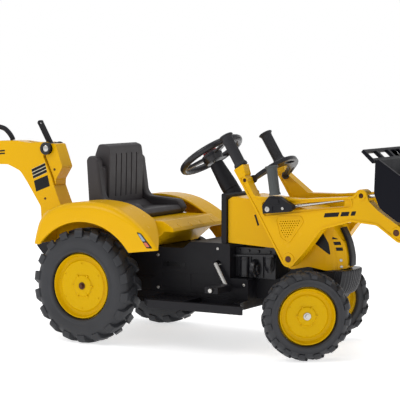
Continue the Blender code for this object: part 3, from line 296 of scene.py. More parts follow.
def smooth_path(points, per_span=6):
    path = []
    padded = [points[0], *points, points[-1]]
    for index in range(1, len(padded) - 2):
        a, b, c, d = (Vector(p) for p in padded[index - 1 : index + 3])
        for step in range(per_span):
            t = step / per_span
            path.append(0.5 * (2 * b + (c - a) * t + (2 * a - 5 * b + 4 * c - d) * t**2
                               + (3 * b - a - 3 * c + d) * t**3))
    path.append(Vector(points[-1]))
    return path


# ---------------------------------------------------------------- mesh building


def as_object(shape, name="shape"):
    """A bmesh as a new object, its faces turned outwards."""
    bmesh.ops.recalc_face_normals(shape, faces=shape.faces)
    mesh = bpy.data.meshes.new(name)
    shape.to_mesh(mesh)
    shape.free()
    obj = bpy.data.objects.new(name, mesh)
    SCENE.collection.objects.link(obj)
    return obj


def to_plane(point, height, plane):
    a, b = point
    return (a, height, b) if plane == "xz" else (a, b, height)


def prism(outline, low, high, plane="xz"):
    """A closed outline given thickness along the plane's own normal."""
    shape = bmesh.new()
    rings = [[shape.verts.new(to_plane(p, h, plane)) for p in outline] for h in (low, high)]
    shape.faces.new(rings[0])
    shape.faces.new(rings[1])
    count = len(outline)
    for i in range(count):
        j = (i + 1) % count
        shape.faces.new((rings[0][i], rings[0][j], rings[1][j], rings[1][i]))
    return as_object(shape)


def plate(corners, radius, steps, low, high, plane="xz"):
    """A prism whose outline has all its corners rounded."""
    return prism(fillet(corners, radius, steps), low, high, plane)


def block(low, high):
    return prism(oblong(low[0], high[0], low[1], high[1]), low[2], high[2], "xy")


def both(side, near, far):
    """Two distances from the middle as Y values on that side, the smaller first."""
    return sorted((side * near, side * far))


def side_block(side, low, high):
    """A block whose Y values are distances from the middle."""
    y0, y1 = both(side, low[1], high[1])
    return block((low[0], y0, low[2]), (high[0], y1, high[2]))


def skin(rings):
    """Rings of points, the same number in each, joined into a closed surface."""
    shape = bmesh.new()
    made = [[shape.verts.new(p) for p in ring] for ring in rings]
    count = len(rings[0])
    for a, b in zip(made, made[1:]):
        for i in range(count):
            j = (i + 1) % count
            shape.faces.new((a[i], a[j], b[j], b[i]))
    shape.faces.new(made[0])
    shape.faces.new(made[-1])
    return as_object(shape)


def lathe(profile, steps=64, closed=False):
    """Points (radius, height) turned round the local Z axis."""
    shape = bmesh.new()
    made = [shape.verts.new((r, 0, h)) for r, h in profile]
    pairs = list(zip(made, made[1:]))
    if closed:
        pairs.append((made[-1], made[0]))
    edges = [shape.edges.new(pair) for pair in pairs]
    bmesh.ops.spin(shape, geom=made + edges, axis=(0, 0, 1), cent=(0, 0, 0), steps=steps,
                   angle=2 * math.pi, use_merge=True)
    bmesh.ops.remove_doubles(shape, verts=shape.verts, dist=1e-6)
    return as_object(shape)


def moved(obj, matrix):
    obj.data.transform(matrix)
    if matrix.determinant() < 0:
        obj.data.flip_normals()
    return obj


def aim(start, end):
    """The matrix that puts local Z along start to end, with its origin at start."""
    along = Vector(end) - Vector(start)
    return Matrix.Translation(Vector(start)) @ along.to_track_quat("Z", "Y").to_matrix().to_4x4()


def rod(start, end, radius, steps=24, chamfer=0.0):
    length = (Vector(end) - Vector(start)).length
    c = chamfer
    profile = [(0, 0), (radius - c, 0), (radius, c), (radius, length - c), (radius - c, length), (0, length)]
    if not c:
        profile = [(0, 0), (radius, 0), (radius, length), (0, length)]
    return moved(lathe(profile, steps), aim(start, end))


def y_rod(x, z, y0, y1, radius, steps=24, chamfer=0.0):
    return rod((x, y0, z), (x, y1, z), radius, steps, chamfer)


def tube(points, radius, sides):
    """A round bar along the points."""
    path = [Vector(p) for p in points]
    rings = []
    up = None
    for index, point in enumerate(path):
        tangent = (path[min(index + 1, len(path) - 1)] - path[max(index - 1, 0)]).normalized()
        if up is None:
            guess = Vector((0, 0, 1)) if abs(tangent.z) < 0.9 else Vector((1, 0, 0))
            up = (guess - tangent * guess.dot(tangent)).normalized()
        else:
            up = (up - tangent * up.dot(tangent)).normalized()
        across = tangent.cross(up)
        ring = []
        for k in range(sides):
            angle = 2 * math.pi * k / sides
            ring.append(point + across * math.cos(angle) * radius + up * math.sin(angle) * radius)
        rings.append(ring)
    return skin(rings)


def apply(obj):
    """Replaces the object's mesh with what its modifiers make of it."""
    bpy.context.view_layer.update()
    graph = bpy.context.evaluated_depsgraph_get()
    mesh = bpy.data.meshes.new_from_object(obj.evaluated_get(graph))
    old = obj.data
    obj.modifiers.clear()
    obj.data = mesh
    bpy.data.meshes.remove(old)
    return obj


def clean(obj, angle=0.6):
    """Welds the points and makes flat faces whole again."""
    shape = bmesh.new()
    shape.from_mesh(obj.data)
    bmesh.ops.remove_doubles(shape, verts=shape.verts, dist=2e-6)
    bmesh.ops.dissolve_limit(shape, angle_limit=math.radians(angle), verts=shape.verts, edges=shape.edges)
    bmesh.ops.recalc_face_normals(shape, faces=shape.faces)
    shape.to_mesh(obj.data)
    shape.free()
    return obj


def boolean(obj, others, operation):
    for other in others:
        modifier = obj.modifiers.new("b", "BOOLEAN")
        modifier.operation = operation
        modifier.solver = "EXACT"
        modifier.object = other
    apply(obj)
    for other in others:
        bpy.data.objects.remove(other, do_unlink=True)
    return clean(obj)


def cut(obj, *others):
    return boolean(obj, others, "DIFFERENCE")


def join(obj, *others):
    return boolean(obj, others, "UNION")


def common(obj, *others):
    return boolean(obj, others, "INTERSECT")


def gather(objects):
    """Several separate shapes as one object, without a Boolean."""
    shape = bmesh.new()
    for obj in objects:
        shape.from_mesh(obj.data)
        bpy.data.objects.remove(obj, do_unlink=True)
    return as_object(shape)


def soften(obj, width, segments=3, angle=30):
    bevel = obj.modifiers.new("bevel", "BEVEL")
    bevel.width = width
    bevel.segments = segments
    bevel.limit_method = "ANGLE"
    bevel.angle_limit = math.radians(angle)
    bevel.miter_outer = "MITER_ARC"
    apply(obj)
    shape = bmesh.new()
    shape.from_mesh(obj.data)
    bmesh.ops.remove_doubles(shape, verts=shape.verts, dist=1e-5)
    bmesh.ops.recalc_face_normals(shape, faces=shape.faces)
    shape.to_mesh(obj.data)
    shape.free()
    return obj


def copy_node(name):
    """A CAD node's own shape as a new object, back in the rear axle's frame."""
    obj = bpy.data.objects.new(name, NODES[name].data.copy())
    SCENE.collection.objects.link(obj)
    obj.data.transform(Matrix.Translation((-AXLE_X, 0, 0)))
    obj.data.materials.clear()
    return clean(obj)


def piece(obj, name, material, nodes=(), body=None, sharp=38):
    """Finishes a shape: places it, smooths it, gives it its material and body, and hides the CAD nodes it
    stands for.
    """
    obj.name = name
    obj.data.name = name
    obj.data.transform(Matrix.Translation((AXLE_X, 0, 0)))
    obj.data.materials.clear()
    obj.data.materials.append(material)
    obj.data.shade_smooth()
    obj.data.set_sharp_from_angle(angle=math.radians(sharp))
    flat = obj.modifiers.new("shading", "WEIGHTED_NORMAL")
    flat.keep_sharp = True
    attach(obj, body or NODES[nodes[0]]["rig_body"])
    if nodes:
        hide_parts(*nodes)
    return obj


def shell(obj, node, material, sharp=38):
    """Finishes the shape that stands in for a CAD node."""
    return piece(obj, node + "_shell", material, (node,), sharp=sharp)


def screw_head(at, towards, radius, height):
    """A domed head with a cross recess. towards points out of the surface."""
    steps = 5
    profile = [(radius, 0)]
    for k in range(steps + 1):
        angle = math.radians(90 * k / steps)
        profile.append((radius * (0.55 + 0.45 * math.cos(angle)), height * (0.35 + 0.65 * math.sin(angle))))
    profile.append((0, height))
    head = lathe([(0, 0), *profile], 24)
    arm, slot = radius * 0.62, radius * 0.14
    cut(head, block((-arm, -slot, height * 0.5), (arm, slot, height * 2)),
        block((-slot, -arm, height * 0.5), (slot, arm, height * 2)))
    return moved(head, aim(at, Vector(at) + Vector(towards)))


def refine(node, material, width, segments=3, angle=30, cutters=(), adds=()):
    """A CAD node with added detail and rounded edges."""
    obj = copy_node(node)
    if adds:
        join(obj, *adds)
    if cutters:
        cut(obj, *cutters)
    soften(obj, width, segments, angle)
    return shell(obj, node, material)


def column(distance):
    """A point on the steering column's line, distance down from the steering wheel's centre."""
    return WHEEL_CENTRE + Vector((math.sin(LEAN), 0, -math.cos(LEAN))) * distance


# ---------------------------------------------------------------- wheels


LUG_SWEEP = math.radians(-9)  # how far a lug leans from the tread's middle to the sidewall


def tyre_shape(radius, rim, width, lug, count, lug_scale):
    """A tyre with staggered block lugs that wrap over its shoulders. Local Z runs outwards."""
    crown = radius - lug
    side = [
        (rim + 0.0008, -0.012), (rim + 0.002, -0.005), (rim + 0.005, -0.0022), (rim + 0.009, -0.0015),
        (rim + 0.012, -0.0030), (rim + 0.016, -0.0022), ((rim + crown) / 2 + 0.002, -0.0008),
        (crown - 0.016, -0.0030), (crown - 0.008, -0.0075), (crown - 0.002, -0.0150), (crown, -0.0230),
    ]
    middle = width / 2
    profile = [(r, width + h) for r, h in side] + [(crown + 0.0006, middle)]
    profile += [(r, -h) for r, h in reversed(side)]
    body = lathe(profile, 96, closed=True)
    # A lug from the tread's middle to the sidewall: its foot's radius, height and half width, its top's,
    # and the share of the sweep reached there
    stations = [
        (crown - 0.004, middle - 0.002, 0.0100, radius, middle - 0.002, 0.0086, 0.0),
        (crown - 0.004, width * 0.70, 0.0125, radius, width * 0.70, 0.0110, 0.35),
        (crown - 0.005, width - 0.022, 0.0138, radius - 0.0006, width - 0.015, 0.0124, 0.70),
        (crown - 0.009, width - 0.013, 0.0140, radius - 0.0030, width - 0.0065, 0.0126, 0.88),
        (crown - 0.0125, width - 0.0095, 0.0136, crown - 0.0035, width - 0.0012, 0.0122, 0.96),
        (crown - 0.0155, width - 0.0070, 0.0128, crown - 0.0125, width - 0.0012, 0.0112, 1.0),
    ]
    lugs = []
    for index in range(count):
        for flip in (False, True):
            start = 2 * math.pi * (index + (0.5 if flip else 0.0)) / count
            rings = []
            for *numbers, share in stations:
                foot, top = numbers[:3], numbers[3:]
                ring = []
                for (r, h, half), edge in ((foot, -1), (top, -1), (top, 1), (foot, 1)):
                    angle = start + LUG_SWEEP * share + edge * half * lug_scale / r
                    height = width - h if flip else h
                    ring.append((r * math.cos(angle), r * math.sin(angle), height))
                if flip:
                    ring.reverse()
                rings.append(ring)
            lugs.append(skin(rings))
    blocks = soften(gather(lugs), 0.0012, 2, 40)
    return join(body, blocks)


def rim_shape(rim, width, bore):
    """A dished wheel disc with a rolled lip, a stepped ring, hub pads and drain dimples."""
    w = width
    hub, back = 0.022, 0.014
    profile = [
        (rim + 0.0005, w - 0.0200), (rim - 0.0026, w - 0.0195), (rim - 0.0026, w - 0.0100),
        (rim - 0.0034, w - 0.0084), (rim - 0.0052, w - 0.0082), (rim - 0.0064, w - 0.0096),
        (rim - 0.0080, w - 0.0170), (rim - 0.0105, w - 0.0205), (rim - 0.0170, w - 0.0210),
        (rim - 0.0200, w - 0.0195), (rim - 0.0225, w - 0.0172), (rim * 0.52, w - 0.0176),
        (rim * 0.44, w - 0.0176), (rim * 0.40, w - 0.0190), (rim * 0.33, w - 0.0192),
        (rim * 0.30, w - 0.0160), (rim * 0.21, w - 0.0150), (bore, w - 0.0150), (bore, 0.010), (hub, 0.010),
        (hub + 0.002, w - 0.034), (rim - 0.012, w - 0.034), (rim - 0.006, back), (rim + 0.0005, back),
    ]
    disc = lathe(profile, 96, closed=True)
    cutters = []
    for index in range(6):
        angle = math.radians(30 + 60 * index)
        at = Vector((math.cos(angle), math.sin(angle), 0)) * rim * 0.68
        cutters.append(rod(at + Vector((0, 0, w - 0.0185)), at + Vector((0, 0, w)), rim * 0.034, 20))
    ribs = []
    for index in range(6):
        near, far = rim * 0.22, rim * 0.37
        rib = plate([(near, -0.0022), (far, -0.0016), (far, 0.0016), (near, 0.0022)], 0.0008, 2,
                    w - 0.0210, w - 0.0150, "xy")
        ribs.append(moved(rib, Matrix.Rotation(math.radians(60 * index), 4, "Z")))
    join(disc, *ribs)
    cut(disc, *cutters)
    return soften(disc, 0.0007, 2, 32)


def bolt_shape(face):
    """A washer with a hexagon bolt on it."""
    washer = lathe([(0, face), (0.0100, face), (0.0100, face + 0.0012), (0.0092, face + 0.0020),
                    (0, face + 0.0020)], 40)
    hexagon = arc((0, 0), 0.0060, 0, 360, 6)[:-1]
    head = prism(hexagon, face + 0.0015, face + 0.0072, "xy")
    return soften(join(washer, head), 0.0006, 2, 25)


def wheel_matrix(hub, side, out, steer):
    """Local Z outwards, with its origin out from the hub along the axle and the steering turned."""
    flip = Matrix.Rotation(math.radians(-90 * side), 4, "X")
    along = Matrix.Translation((0, side * out, 0))
    return Matrix.Translation(hub) @ Matrix.Rotation(steer, 4, "Z") @ along @ flip


def axle(prefix, radius, rim, width, lug, count, lug_scale, bolt_metal, bore, hub, out, steer):
    """Both wheels of an axle. hub is the left one's (x, y), and out runs from there to its outer face."""
    tyre = tyre_shape(radius, rim, width, lug, count, lug_scale)
    disc = rim_shape(rim, width, bore)
    bolt = bolt_shape(width - 0.0147)
    shapes = ((tyre, "tyre", TYRE), (disc, "rim", RIM), (bolt, "wheel_bolt", bolt_metal))
    for side, side_name in SIDES:
        at = wheel_matrix((hub[0], side * hub[1], radius), side, out - width, steer)
        if side > 0:
            at = at @ Matrix.Scale(-1, 4, (0, 1, 0))
        for shape, part, material in shapes:
            node = f"{prefix}_{part}_{side_name}"
            copy = bpy.data.objects.new(node, shape.data.copy())
            SCENE.collection.objects.link(copy)
            shell(moved(copy, at), node, material, sharp=42)
    for shape, *_ in shapes:
        bpy.data.objects.remove(shape, do_unlink=True)


def wheels():
    axle("rear", REAR_RADIUS, rim=0.0895, width=0.082, lug=0.0085, count=18, lug_scale=1.0, bolt_metal=BRONZE,
         bore=0.0083, hub=(0, 0), out=REAR_FACE, steer=0)
    axle("front", FRONT_RADIUS, rim=0.0745, width=0.056, lug=0.0048, count=16, lug_scale=0.66,
         bolt_metal=STEEL, bore=0.0063, hub=KINGPIN, out=FRONT_FACE, steer=STEER)


# ---------------------------------------------------------------- rear body


GUARD_CREST = [
    (-0.1545, 0.262), (-0.1490, 0.305), (-0.1330, 0.337), (-0.1020, 0.360), (-0.0500, 0.3760),
    (0.0250, 0.3825), (0.0980, 0.3730), (0.1600, 0.3440), (0.2080, 0.3070), (0.2445, 0.2645),
]
GUARD_INNER, GUARD_OUTER = 0.134, 0.2375
GUARD_SHOULDER = 0.024
GUARD_SKIN = 0.0058
GUARD_STATIONS = 56


def along_path(path, share):
    """The point at that share of a path's points."""
    at = max(0.0, min(1.0, share)) * (len(path) - 1)
    index = min(int(at), len(path) - 2)
    return path[index].lerp(path[index + 1], at - index)


def mudguard(side, side_name):
    """A blown shell over the tyre: a broad rolled shoulder, a turned-in arch lip and a swept front edge."""
    crest = smooth_path([Vector(p) for p in GUARD_CREST], 8)
    arch = [Vector(p) for p in reversed(arc((0.008, 0.1475), 0.181, 36, 141, 48))]

    def section(share):
        """The shell's closed section at one station, as (depth below the crest, y)."""
        depth = (along_path(crest, share) - along_path(arch, share)).length
        tightening = max(0.0, (share - 0.66) / 0.34)
        r = min(GUARD_SHOULDER * (1 - 0.66 * tightening), depth * 0.55)
        outer = [(0.0, GUARD_INNER), (0.0, 0.150), (0.0, 0.175), (0.0004, 0.195)]
        for k in range(9):
            angle = math.radians(90 * k / 8)
            outer.append((r - r * math.cos(angle), GUARD_OUTER - r + r * math.sin(angle)))
        lip = ((0.0035, 0.0), (0.0010, 0.0008), (0.0, 0.0030), (0.0, 0.0085), (0.0030, 0.0095))
        outer.append((depth * 0.72, GUARD_OUTER + 0.0005))
        outer += [(depth - up, GUARD_OUTER - turned_in) for up, turned_in in lip]
        small = max(0.004, r - GUARD_SKIN)
        inner = [(depth - 0.0050, GUARD_OUTER - GUARD_SKIN)]
        for k in range(7):
            angle = math.radians(90 - 90 * k / 6)
            inner.append((GUARD_SKIN + small - small * math.cos(angle),
                          GUARD_OUTER - GUARD_SKIN - small + small * math.sin(angle)))
        return outer + inner + [(GUARD_SKIN, 0.175), (GUARD_SKIN, 0.150), (GUARD_SKIN, GUARD_INNER)]

    rings = []
    for station in range(GUARD_STATIONS + 1):
        share = station / GUARD_STATIONS
        ring = []
        for below, y in section(share):
            inwards = max(0.0, (GUARD_OUTER - 0.010 - y) / (GUARD_OUTER - GUARD_INNER))
            swept = share * (1 - 0.215 * inwards * share**3)
            top, low = along_path(crest, swept), along_path(arch, swept)
            at = top + (low - top).normalized() * below
            ring.append((at.x, side * y, at.y))
        rings.append(ring)
    shell(soften(skin(rings), 0.0016, 3, 50), f"mudguard_{side_name}", YELLOW, sharp=45)
    sticker = (
        ("frame", INK_AND_SHADE, 0.2384, [(0.1805, 0.3110), (0.1955, 0.3070), (0.2310, 0.2695), (0.2125, 0.2695)]),
        ("pale", SKY, 0.2388, [(0.1850, 0.3080), (0.1940, 0.3050), (0.2105, 0.2870), (0.2000, 0.2870)]),
        ("warm", CORAL, 0.2388, [(0.2025, 0.2842), (0.2125, 0.2842), (0.2235, 0.2725), (0.2120, 0.2725)]),
    )
    for part, material, y, corners in sticker:
        patch(f"reflector_{part}_{side_name}", corners, side * y, side, material, "chassis")


def patch(name, outline, y, side, material, body, round_by=0.002):
    """A thin sticker on a side face."""
    low, high = sorted((y, y - side * 0.0012))
    shape = soften(plate(outline, round_by, 3, low, high), 0.0002, 1, 40)
    return piece(shape, name, material, body=body)


def rear_deck():
    """The body between the mudguards, with grooves across its front lip and beside the seat."""
    outline = rounded([
        (-0.190, 0.2585, 0), (0.150, 0.2585, 0), (0.203, 0.303, 0.004), (0.233, 0.303, 0.004),
        (0.229, 0.314, 0.006), (0.197, 0.332, 0.014), (-0.150, 0.332, 0.012), (-0.190, 0.300, 0.016),
    ], 5)
    body = soften(prism(outline, -0.1335, 0.1335), 0.004, 4, 30)
    hollow = prism([(-0.182, 0.200), (0.142, 0.200), (0.142, 0.2645), (0.192, 0.316), (0.192, 0.324),
                    (-0.148, 0.324), (-0.182, 0.296)], -0.127, 0.127)
    grooves = [block((0.214, y - 0.0016, 0.312), (0.236, y + 0.0016, 0.34))
               for y in (-0.09, -0.03, 0.03, 0.09)]
    lines = [block((-0.186, y - 0.0012, 0.3308), (-0.062, y + 0.0012, 0.34)) for y in (-0.112, 0.112)]
    cut(body, hollow, *grooves, *lines)
    soften(body, 0.0008, 2, 45)
    shell(body, "rear_deck", YELLOW)


def seat_part(corners, steps, low, high, width, segments):
    return soften(prism(rounded(corners, steps), low, high), width, segments, 35)


def seat():
    """Two tall bolsters beside a lower pan, with a raised middle back that has moulded channels."""
    bolster = [
        (-0.040, 0.3325, 0.008), (0.112, 0.3325, 0.010), (0.124, 0.350, 0.010), (0.106, 0.372, 0.016),
        (0.010, 0.379, 0.050), (-0.004, 0.392, 0.030), (-0.018, 0.488, 0.014), (-0.028, 0.498, 0.012),
        (-0.045, 0.500, 0.012), (-0.055, 0.489, 0.012), (-0.047, 0.360, 0.020),
    ]
    sides = [seat_part(bolster, 6, *both(side, 0.097, 0.125), 0.0085, 5) for side in (-1, 1)]
    pan = seat_part([
        (-0.040, 0.3325, 0.006), (0.110, 0.3325, 0.006), (0.120, 0.346, 0.010), (0.108, 0.357, 0.012),
        (0.020, 0.353, 0.030), (0.000, 0.368, 0.016), (-0.030, 0.375, 0.0), (-0.046, 0.360, 0.01),
    ], 5, -0.103, 0.103, 0.003, 3)
    back = seat_part([
        (-0.047, 0.345, 0.004), (-0.006, 0.350, 0.010), (-0.002, 0.500, 0.01), (-0.006, 0.525, 0.012),
        (-0.024, 0.531, 0.012), (-0.040, 0.530, 0.012), (-0.052, 0.500, 0.01),
    ], 5, -0.085, 0.085, 0.012, 5)
    filler = seat_part([
        (-0.046, 0.345, 0.004), (-0.010, 0.350, 0.010), (-0.012, 0.470, 0.01), (-0.040, 0.472, 0.01),
    ], 4, -0.101, 0.101, 0.004, 3)
    channels = []
    for y in (-0.052, -0.026, 0.0, 0.026, 0.052):
        channels.append(prism(rounded([(-0.0085, 0.385, 0.004), (0.010, 0.385, 0), (0.010, 0.505, 0),
                                       (-0.0065, 0.505, 0.004)], 3), y - 0.0022, y + 0.0022))
    for y in (-0.060, -0.020, 0.020, 0.060):
        channels.append(block((0.030, y - 0.0020, 0.3520), (0.104, y + 0.0020, 0.37)))
    body = join(sides[0], sides[1], pan, back, filler)
    cut(body, *channels)
    soften(body, 0.0011, 2, 40)
    shell(body, "seat", SEAT)


# ---------------------------------------------------------------- chassis and front


def chassis():
    """The tub with sunk panels, ribs and screws."""
    cutters = []
    panels = ((0.030, 0.150, 0.175, 0.232), (0.172, 0.250, 0.204, 0.222), (0.172, 0.250, 0.150, 0.192),
              (0.262, 0.330, 0.150, 0.192), (-0.180, -0.060, 0.175, 0.232))
    for side in (-1, 1):
        for x0, x1, z0, z1 in panels:
            cutters.append(plate(oblong(x0, x1, z0, z1), 0.005, 4, *both(side, 0.0938, 0.100)))
        for z in (0.139, 0.118):
            cutters.append(side_block(side, (0.020, 0.0940, z - 0.001), (0.380, 0.1, z + 0.001)))
    refine("chassis_frame", BLACK, 0.0016, 2, 32, cutters)
    heads, bands = [], []
    for side in (-1, 1):
        for x, z in ((0.160, 0.236), (0.160, 0.148), (0.345, 0.262), (0.020, 0.140), (0.424, 0.170)):
            heads.append(screw_head((x, side * 0.0950, z), (0, side, 0), 0.0042, 0.0022))
        bands.append(plate(oblong(0.176, 0.246, 0.207, 0.219), 0.002, 3, *both(side, 0.0938, 0.0944)))
    piece(gather(heads), "chassis_screws", STEEL, body="chassis")
    piece(gather(bands), "chassis_label_blanks", INK_AND_SHADE, body="chassis")


def footboards():
    """Cross ribs on the step's flat rear part, and lengthways ribs in its sunk front part."""
    for side, side_name in SIDES:
        node = f"running_board_{side_name}"
        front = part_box(node)[1].x - AXLE_X
        ribs = []
        for index in range(9):
            x = 0.190 + 0.012 * index
            ribs.append(soften(side_block(side, (x - 0.0022, 0.106, 0.1300), (x + 0.0022, 0.196, 0.1322)),
                               0.0006, 2, 40))
        for index in range(7):
            y = side * (0.114 + 0.0125 * index)
            reach = front - 0.052 - 0.0045 * max(0, index - 3) ** 1.5
            ribs.append(block((0.306, y - 0.0018, 0.1170), (reach, y + 0.0018, 0.1205)))
        refine(node, BLACK, 0.0022, 3, 32, adds=ribs)


def engine():
    """Toy engine: a smooth cylinder, a pulley and a tapered filter under a bolted ledge, on each side."""
    body = block((0.3825, -0.062, 0.1865), (0.500, 0.062, 0.266))
    filter_profile = [(0, 0.2025), (0.0060, 0.2025), (0.0085, 0.2050), (0.0130, 0.2110), (0.0150, 0.2200),
                      (0.0160, 0.2320), (0.0160, 0.2420), (0.0172, 0.2430), (0.0172, 0.2480), (0, 0.2480)]
    extras = []
    for side in (-1, 1):
        y = side * 0.060
        for z0, z1, radius, chamfer in ((0.1880, 0.2430, 0.0148, 0.0012), (0.1880, 0.1945, 0.0160, 0.0010),
                                        (0.2340, 0.2372, 0.0158, 0.0008)):
            extras.append(rod((0.4100, y, z0), (0.4100, y, z1), radius, 40, chamfer))
        extras.append(rod((0.4335, y, 0.2115), (0.4475, y, 0.2115), 0.0250, 48, 0.0022))
        extras.append(rod((0.4470, y, 0.2115), (0.4535, y, 0.2115), 0.0165, 40, 0.0016))
        extras.append(moved(lathe(filter_profile, 40), Matrix.Translation((0.4835, y, 0))))
        ledge = strip((0.3815, 0.2445), (0.5010, 0.2500), 0.0022)
        extras.append(prism(ledge, *both(side, 0.055, 0.0765)))
        for x in (0.392, 0.421, 0.450, 0.484):
            extras.append(rod((x, y, 0.2575), (x, side * 0.0665, 0.2575), 0.0040, 6, 0.0006))
        for x in (0.3850, 0.4270, 0.4640):
            extras.append(side_block(side, (x - 0.0014, 0.055, 0.1890), (x + 0.0014, 0.0665, 0.2440)))
    join(body, *extras)
    cut(body, rod(column(0.20), column(0.45), 0.013))
    soften(body, 0.0010, 2, 34)
    shell(body, "engine_block", SATIN)


def hood():
    """The bonnet: a rounded shell with a raised nose band, a side window, vents and a slot."""
    side_outline = rounded([
        (0.370, 0.279, 0), (0.506, 0.271, 0.01), (0.545, 0.216, 0.02), (0.596, 0.226, 0.03),
        (0.640, 0.217, 0.03), (0.686, 0.222, 0.004), (0.688, 0.250, 0.02), (0.679, 0.290, 0.03),
        (0.652, 0.340, 0.03), (0.600, 0.374, 0.04), (0.500, 0.392, 0.04), (0.384, 0.401, 0.012),
        (0.370, 0.392, 0.006),
    ], 8)
    plan = rounded([
        (0.370, -0.085, 0), (0.500, -0.080, 0.10), (0.640, -0.052, 0.05), (0.660, -0.045, 0.02),
        (0.6885, -0.016, 0.02), (0.6885, 0.016, 0.02), (0.660, 0.045, 0.02), (0.640, 0.052, 0.05),
        (0.500, 0.080, 0.10), (0.370, 0.085, 0),
    ], 5)

    def across(outline):
        return prism(outline, -0.086, 0.086)

    def wedge(shrink, low=0.15, high=0.45):
        return prism(inset(plan, shrink) if shrink else plan, low, high, "xy")

    body = common(across(side_outline), wedge(0.0009))
    soften(body, 0.0080, 5, 45)
    vents = [fillet(corners, 0.001, 2) for corners in (
        [(0.6560, 0.3060), (0.6540, 0.2985), (0.6700, 0.2985)],
        [(0.6570, 0.2925), (0.6600, 0.2835), (0.6745, 0.2835), (0.6720, 0.2925)],
        [(0.6620, 0.2775), (0.6640, 0.2685), (0.6780, 0.2685), (0.6765, 0.2775)])]
    window = rounded([(0.6280, 0.3240, 0.002), (0.6060, 0.2900, 0.003), (0.6520, 0.2560, 0.003),
                      (0.6470, 0.2880, 0.02)], 4)
    slot = strip((0.4490, 0.3560), (0.4590, 0.3280), 0.0028)
    openings = (window, slot, *vents)
    band = rounded([(0.6350, 0.3560, 0.0), (0.6560, 0.3000, 0.05), (0.6660, 0.2500, 0.05),
                    (0.6680, 0.2100, 0), (0.7000, 0.2100, 0), (0.7000, 0.3600, 0)], 6)
    raised = common(across(side_outline), wedge(0.0), prism(band, -0.1, 0.1))
    soften(raised, 0.0070, 4, 45)
    join(body, raised)
    inner = rounded([
        (0.377, 0.150, 0), (0.680, 0.150, 0), (0.682, 0.250, 0.02), (0.673, 0.288, 0.03),
        (0.648, 0.334, 0.03), (0.598, 0.367, 0.04), (0.500, 0.385, 0.04), (0.377, 0.393, 0),
    ], 6)
    hollow = common(across(inner), wedge(0.006, 0.14, 0.46))
    soften(hollow, 0.004, 3, 45)
    cut(body, hollow, y_rod(*PIVOT, -0.12, 0.12, 0.0115), rod(column(0.06), column(0.20), 0.0135))
    holes = [prism(outline, -0.1, 0.1) for outline in openings]
    seam_line = strip((0.3765, 0.2700), (0.3765, 0.4100), 0.0007)
    seams = [prism(seam_line, *both(side, 0.0838, 0.0862)) for side in (-1, 1)]
    cut(body, *holes, *seams)
    soften(body, 0.0009, 2, 48)
    shell(body, "hood", YELLOW)

    # Near-black plugs recessed in the window, slot and vents: painted shade standing in for the dark inside
    # of these openings.
    shade_plugs = []
    for outline in openings:
        ring = common(prism(inset(outline, 0.0002), -0.1, 0.1), wedge(0.0020))
        cut(ring, wedge(0.0052, 0.14, 0.46))
        shade_plugs.append(ring)
    piece(gather(shade_plugs), "hood_openings_painted_shade", INK_AND_SHADE, body="chassis")

    heads = []
    for side in (-1, 1):
        for x, z in ((0.6735, 0.2440), (0.6745, 0.2270)):
            y = 0.0445 - (x - 0.660) * 1.02
            heads.append(screw_head((x, side * y, z), (0.70, side * 0.71, 0), 0.0042, 0.0018))
    piece(gather(heads), "nose_screws", STEEL, body="chassis")


def grille():
    """The dark band down the nose, curved with the hood, with a shallow groove along each edge."""
    front = smooth_path([(0.6690, 0.3285), (0.6865, 0.2930), (0.6955, 0.2560), (0.6958, 0.228)], 8)
    back = smooth_path([(0.6892, 0.228), (0.6892, 0.2540), (0.6802, 0.2910), (0.6620, 0.3255)], 8)
    panel = prism([tuple(p) for p in front + back], -0.0145, 0.0145)
    soften(panel, 0.0022, 3, 50)
    cut(panel, *[tube([(p.x + 0.0004, y, p.y) for p in front[2:-1]], 0.0009, 8) for y in (-0.0095, 0.0095)])
    shell(panel, "grille_panel", BLACK)


BUMPER_BACK = 0.6675
BUMPER_FRONT = [  # (z, x) up its face
    (0.1540, 0.6790), (0.1552, 0.6835), (0.1590, 0.6880), (0.1660, 0.6930), (0.1760, 0.6975),
    (0.1880, 0.7010), (0.2000, 0.7035), (0.2110, 0.7052), (0.2160, 0.7054), (0.2188, 0.7042),
    (0.2200, 0.7010),
]
BUMPER_HALF = 0.0600
FLUTES = 11
FLUTE_DEPTH = 0.0030


def bumper():
    """The front weight: its face is a row of upright flutes that follow its curve."""
    rings = []
    samples = FLUTES * 10
    for level, (z, front) in enumerate(BUMPER_FRONT):
        edge = level in (0, len(BUMPER_FRONT) - 1)
        half = BUMPER_HALF - (0.0015 if edge else 0.0)
        ring = [(BUMPER_BACK, -half, z)]
        for index in range(samples + 1):
            share = 2 * index / samples - 1
            wave = math.sin(math.pi * index * FLUTES / samples) ** 2
            deep = FLUTE_DEPTH * wave**1.5 * (0.0 if edge else 1.0)
            ring.append((front - 0.0150 * abs(share) ** 3 - deep, half * share, z))
        ring.append((BUMPER_BACK, half, z))
        rings.append(ring)
    weight = skin(rings)
    for y in (-BUMPER_HALF, BUMPER_HALF):
        cut(weight, *[tube([(x, y, 0.150), (x + 0.0030, y, 0.224)], 0.0012, 8)
                      for x in (0.6705, 0.6760, 0.6815)])
    soften(weight, 0.0012, 2, 50)
    shell(weight, "front_bumper", SATIN)


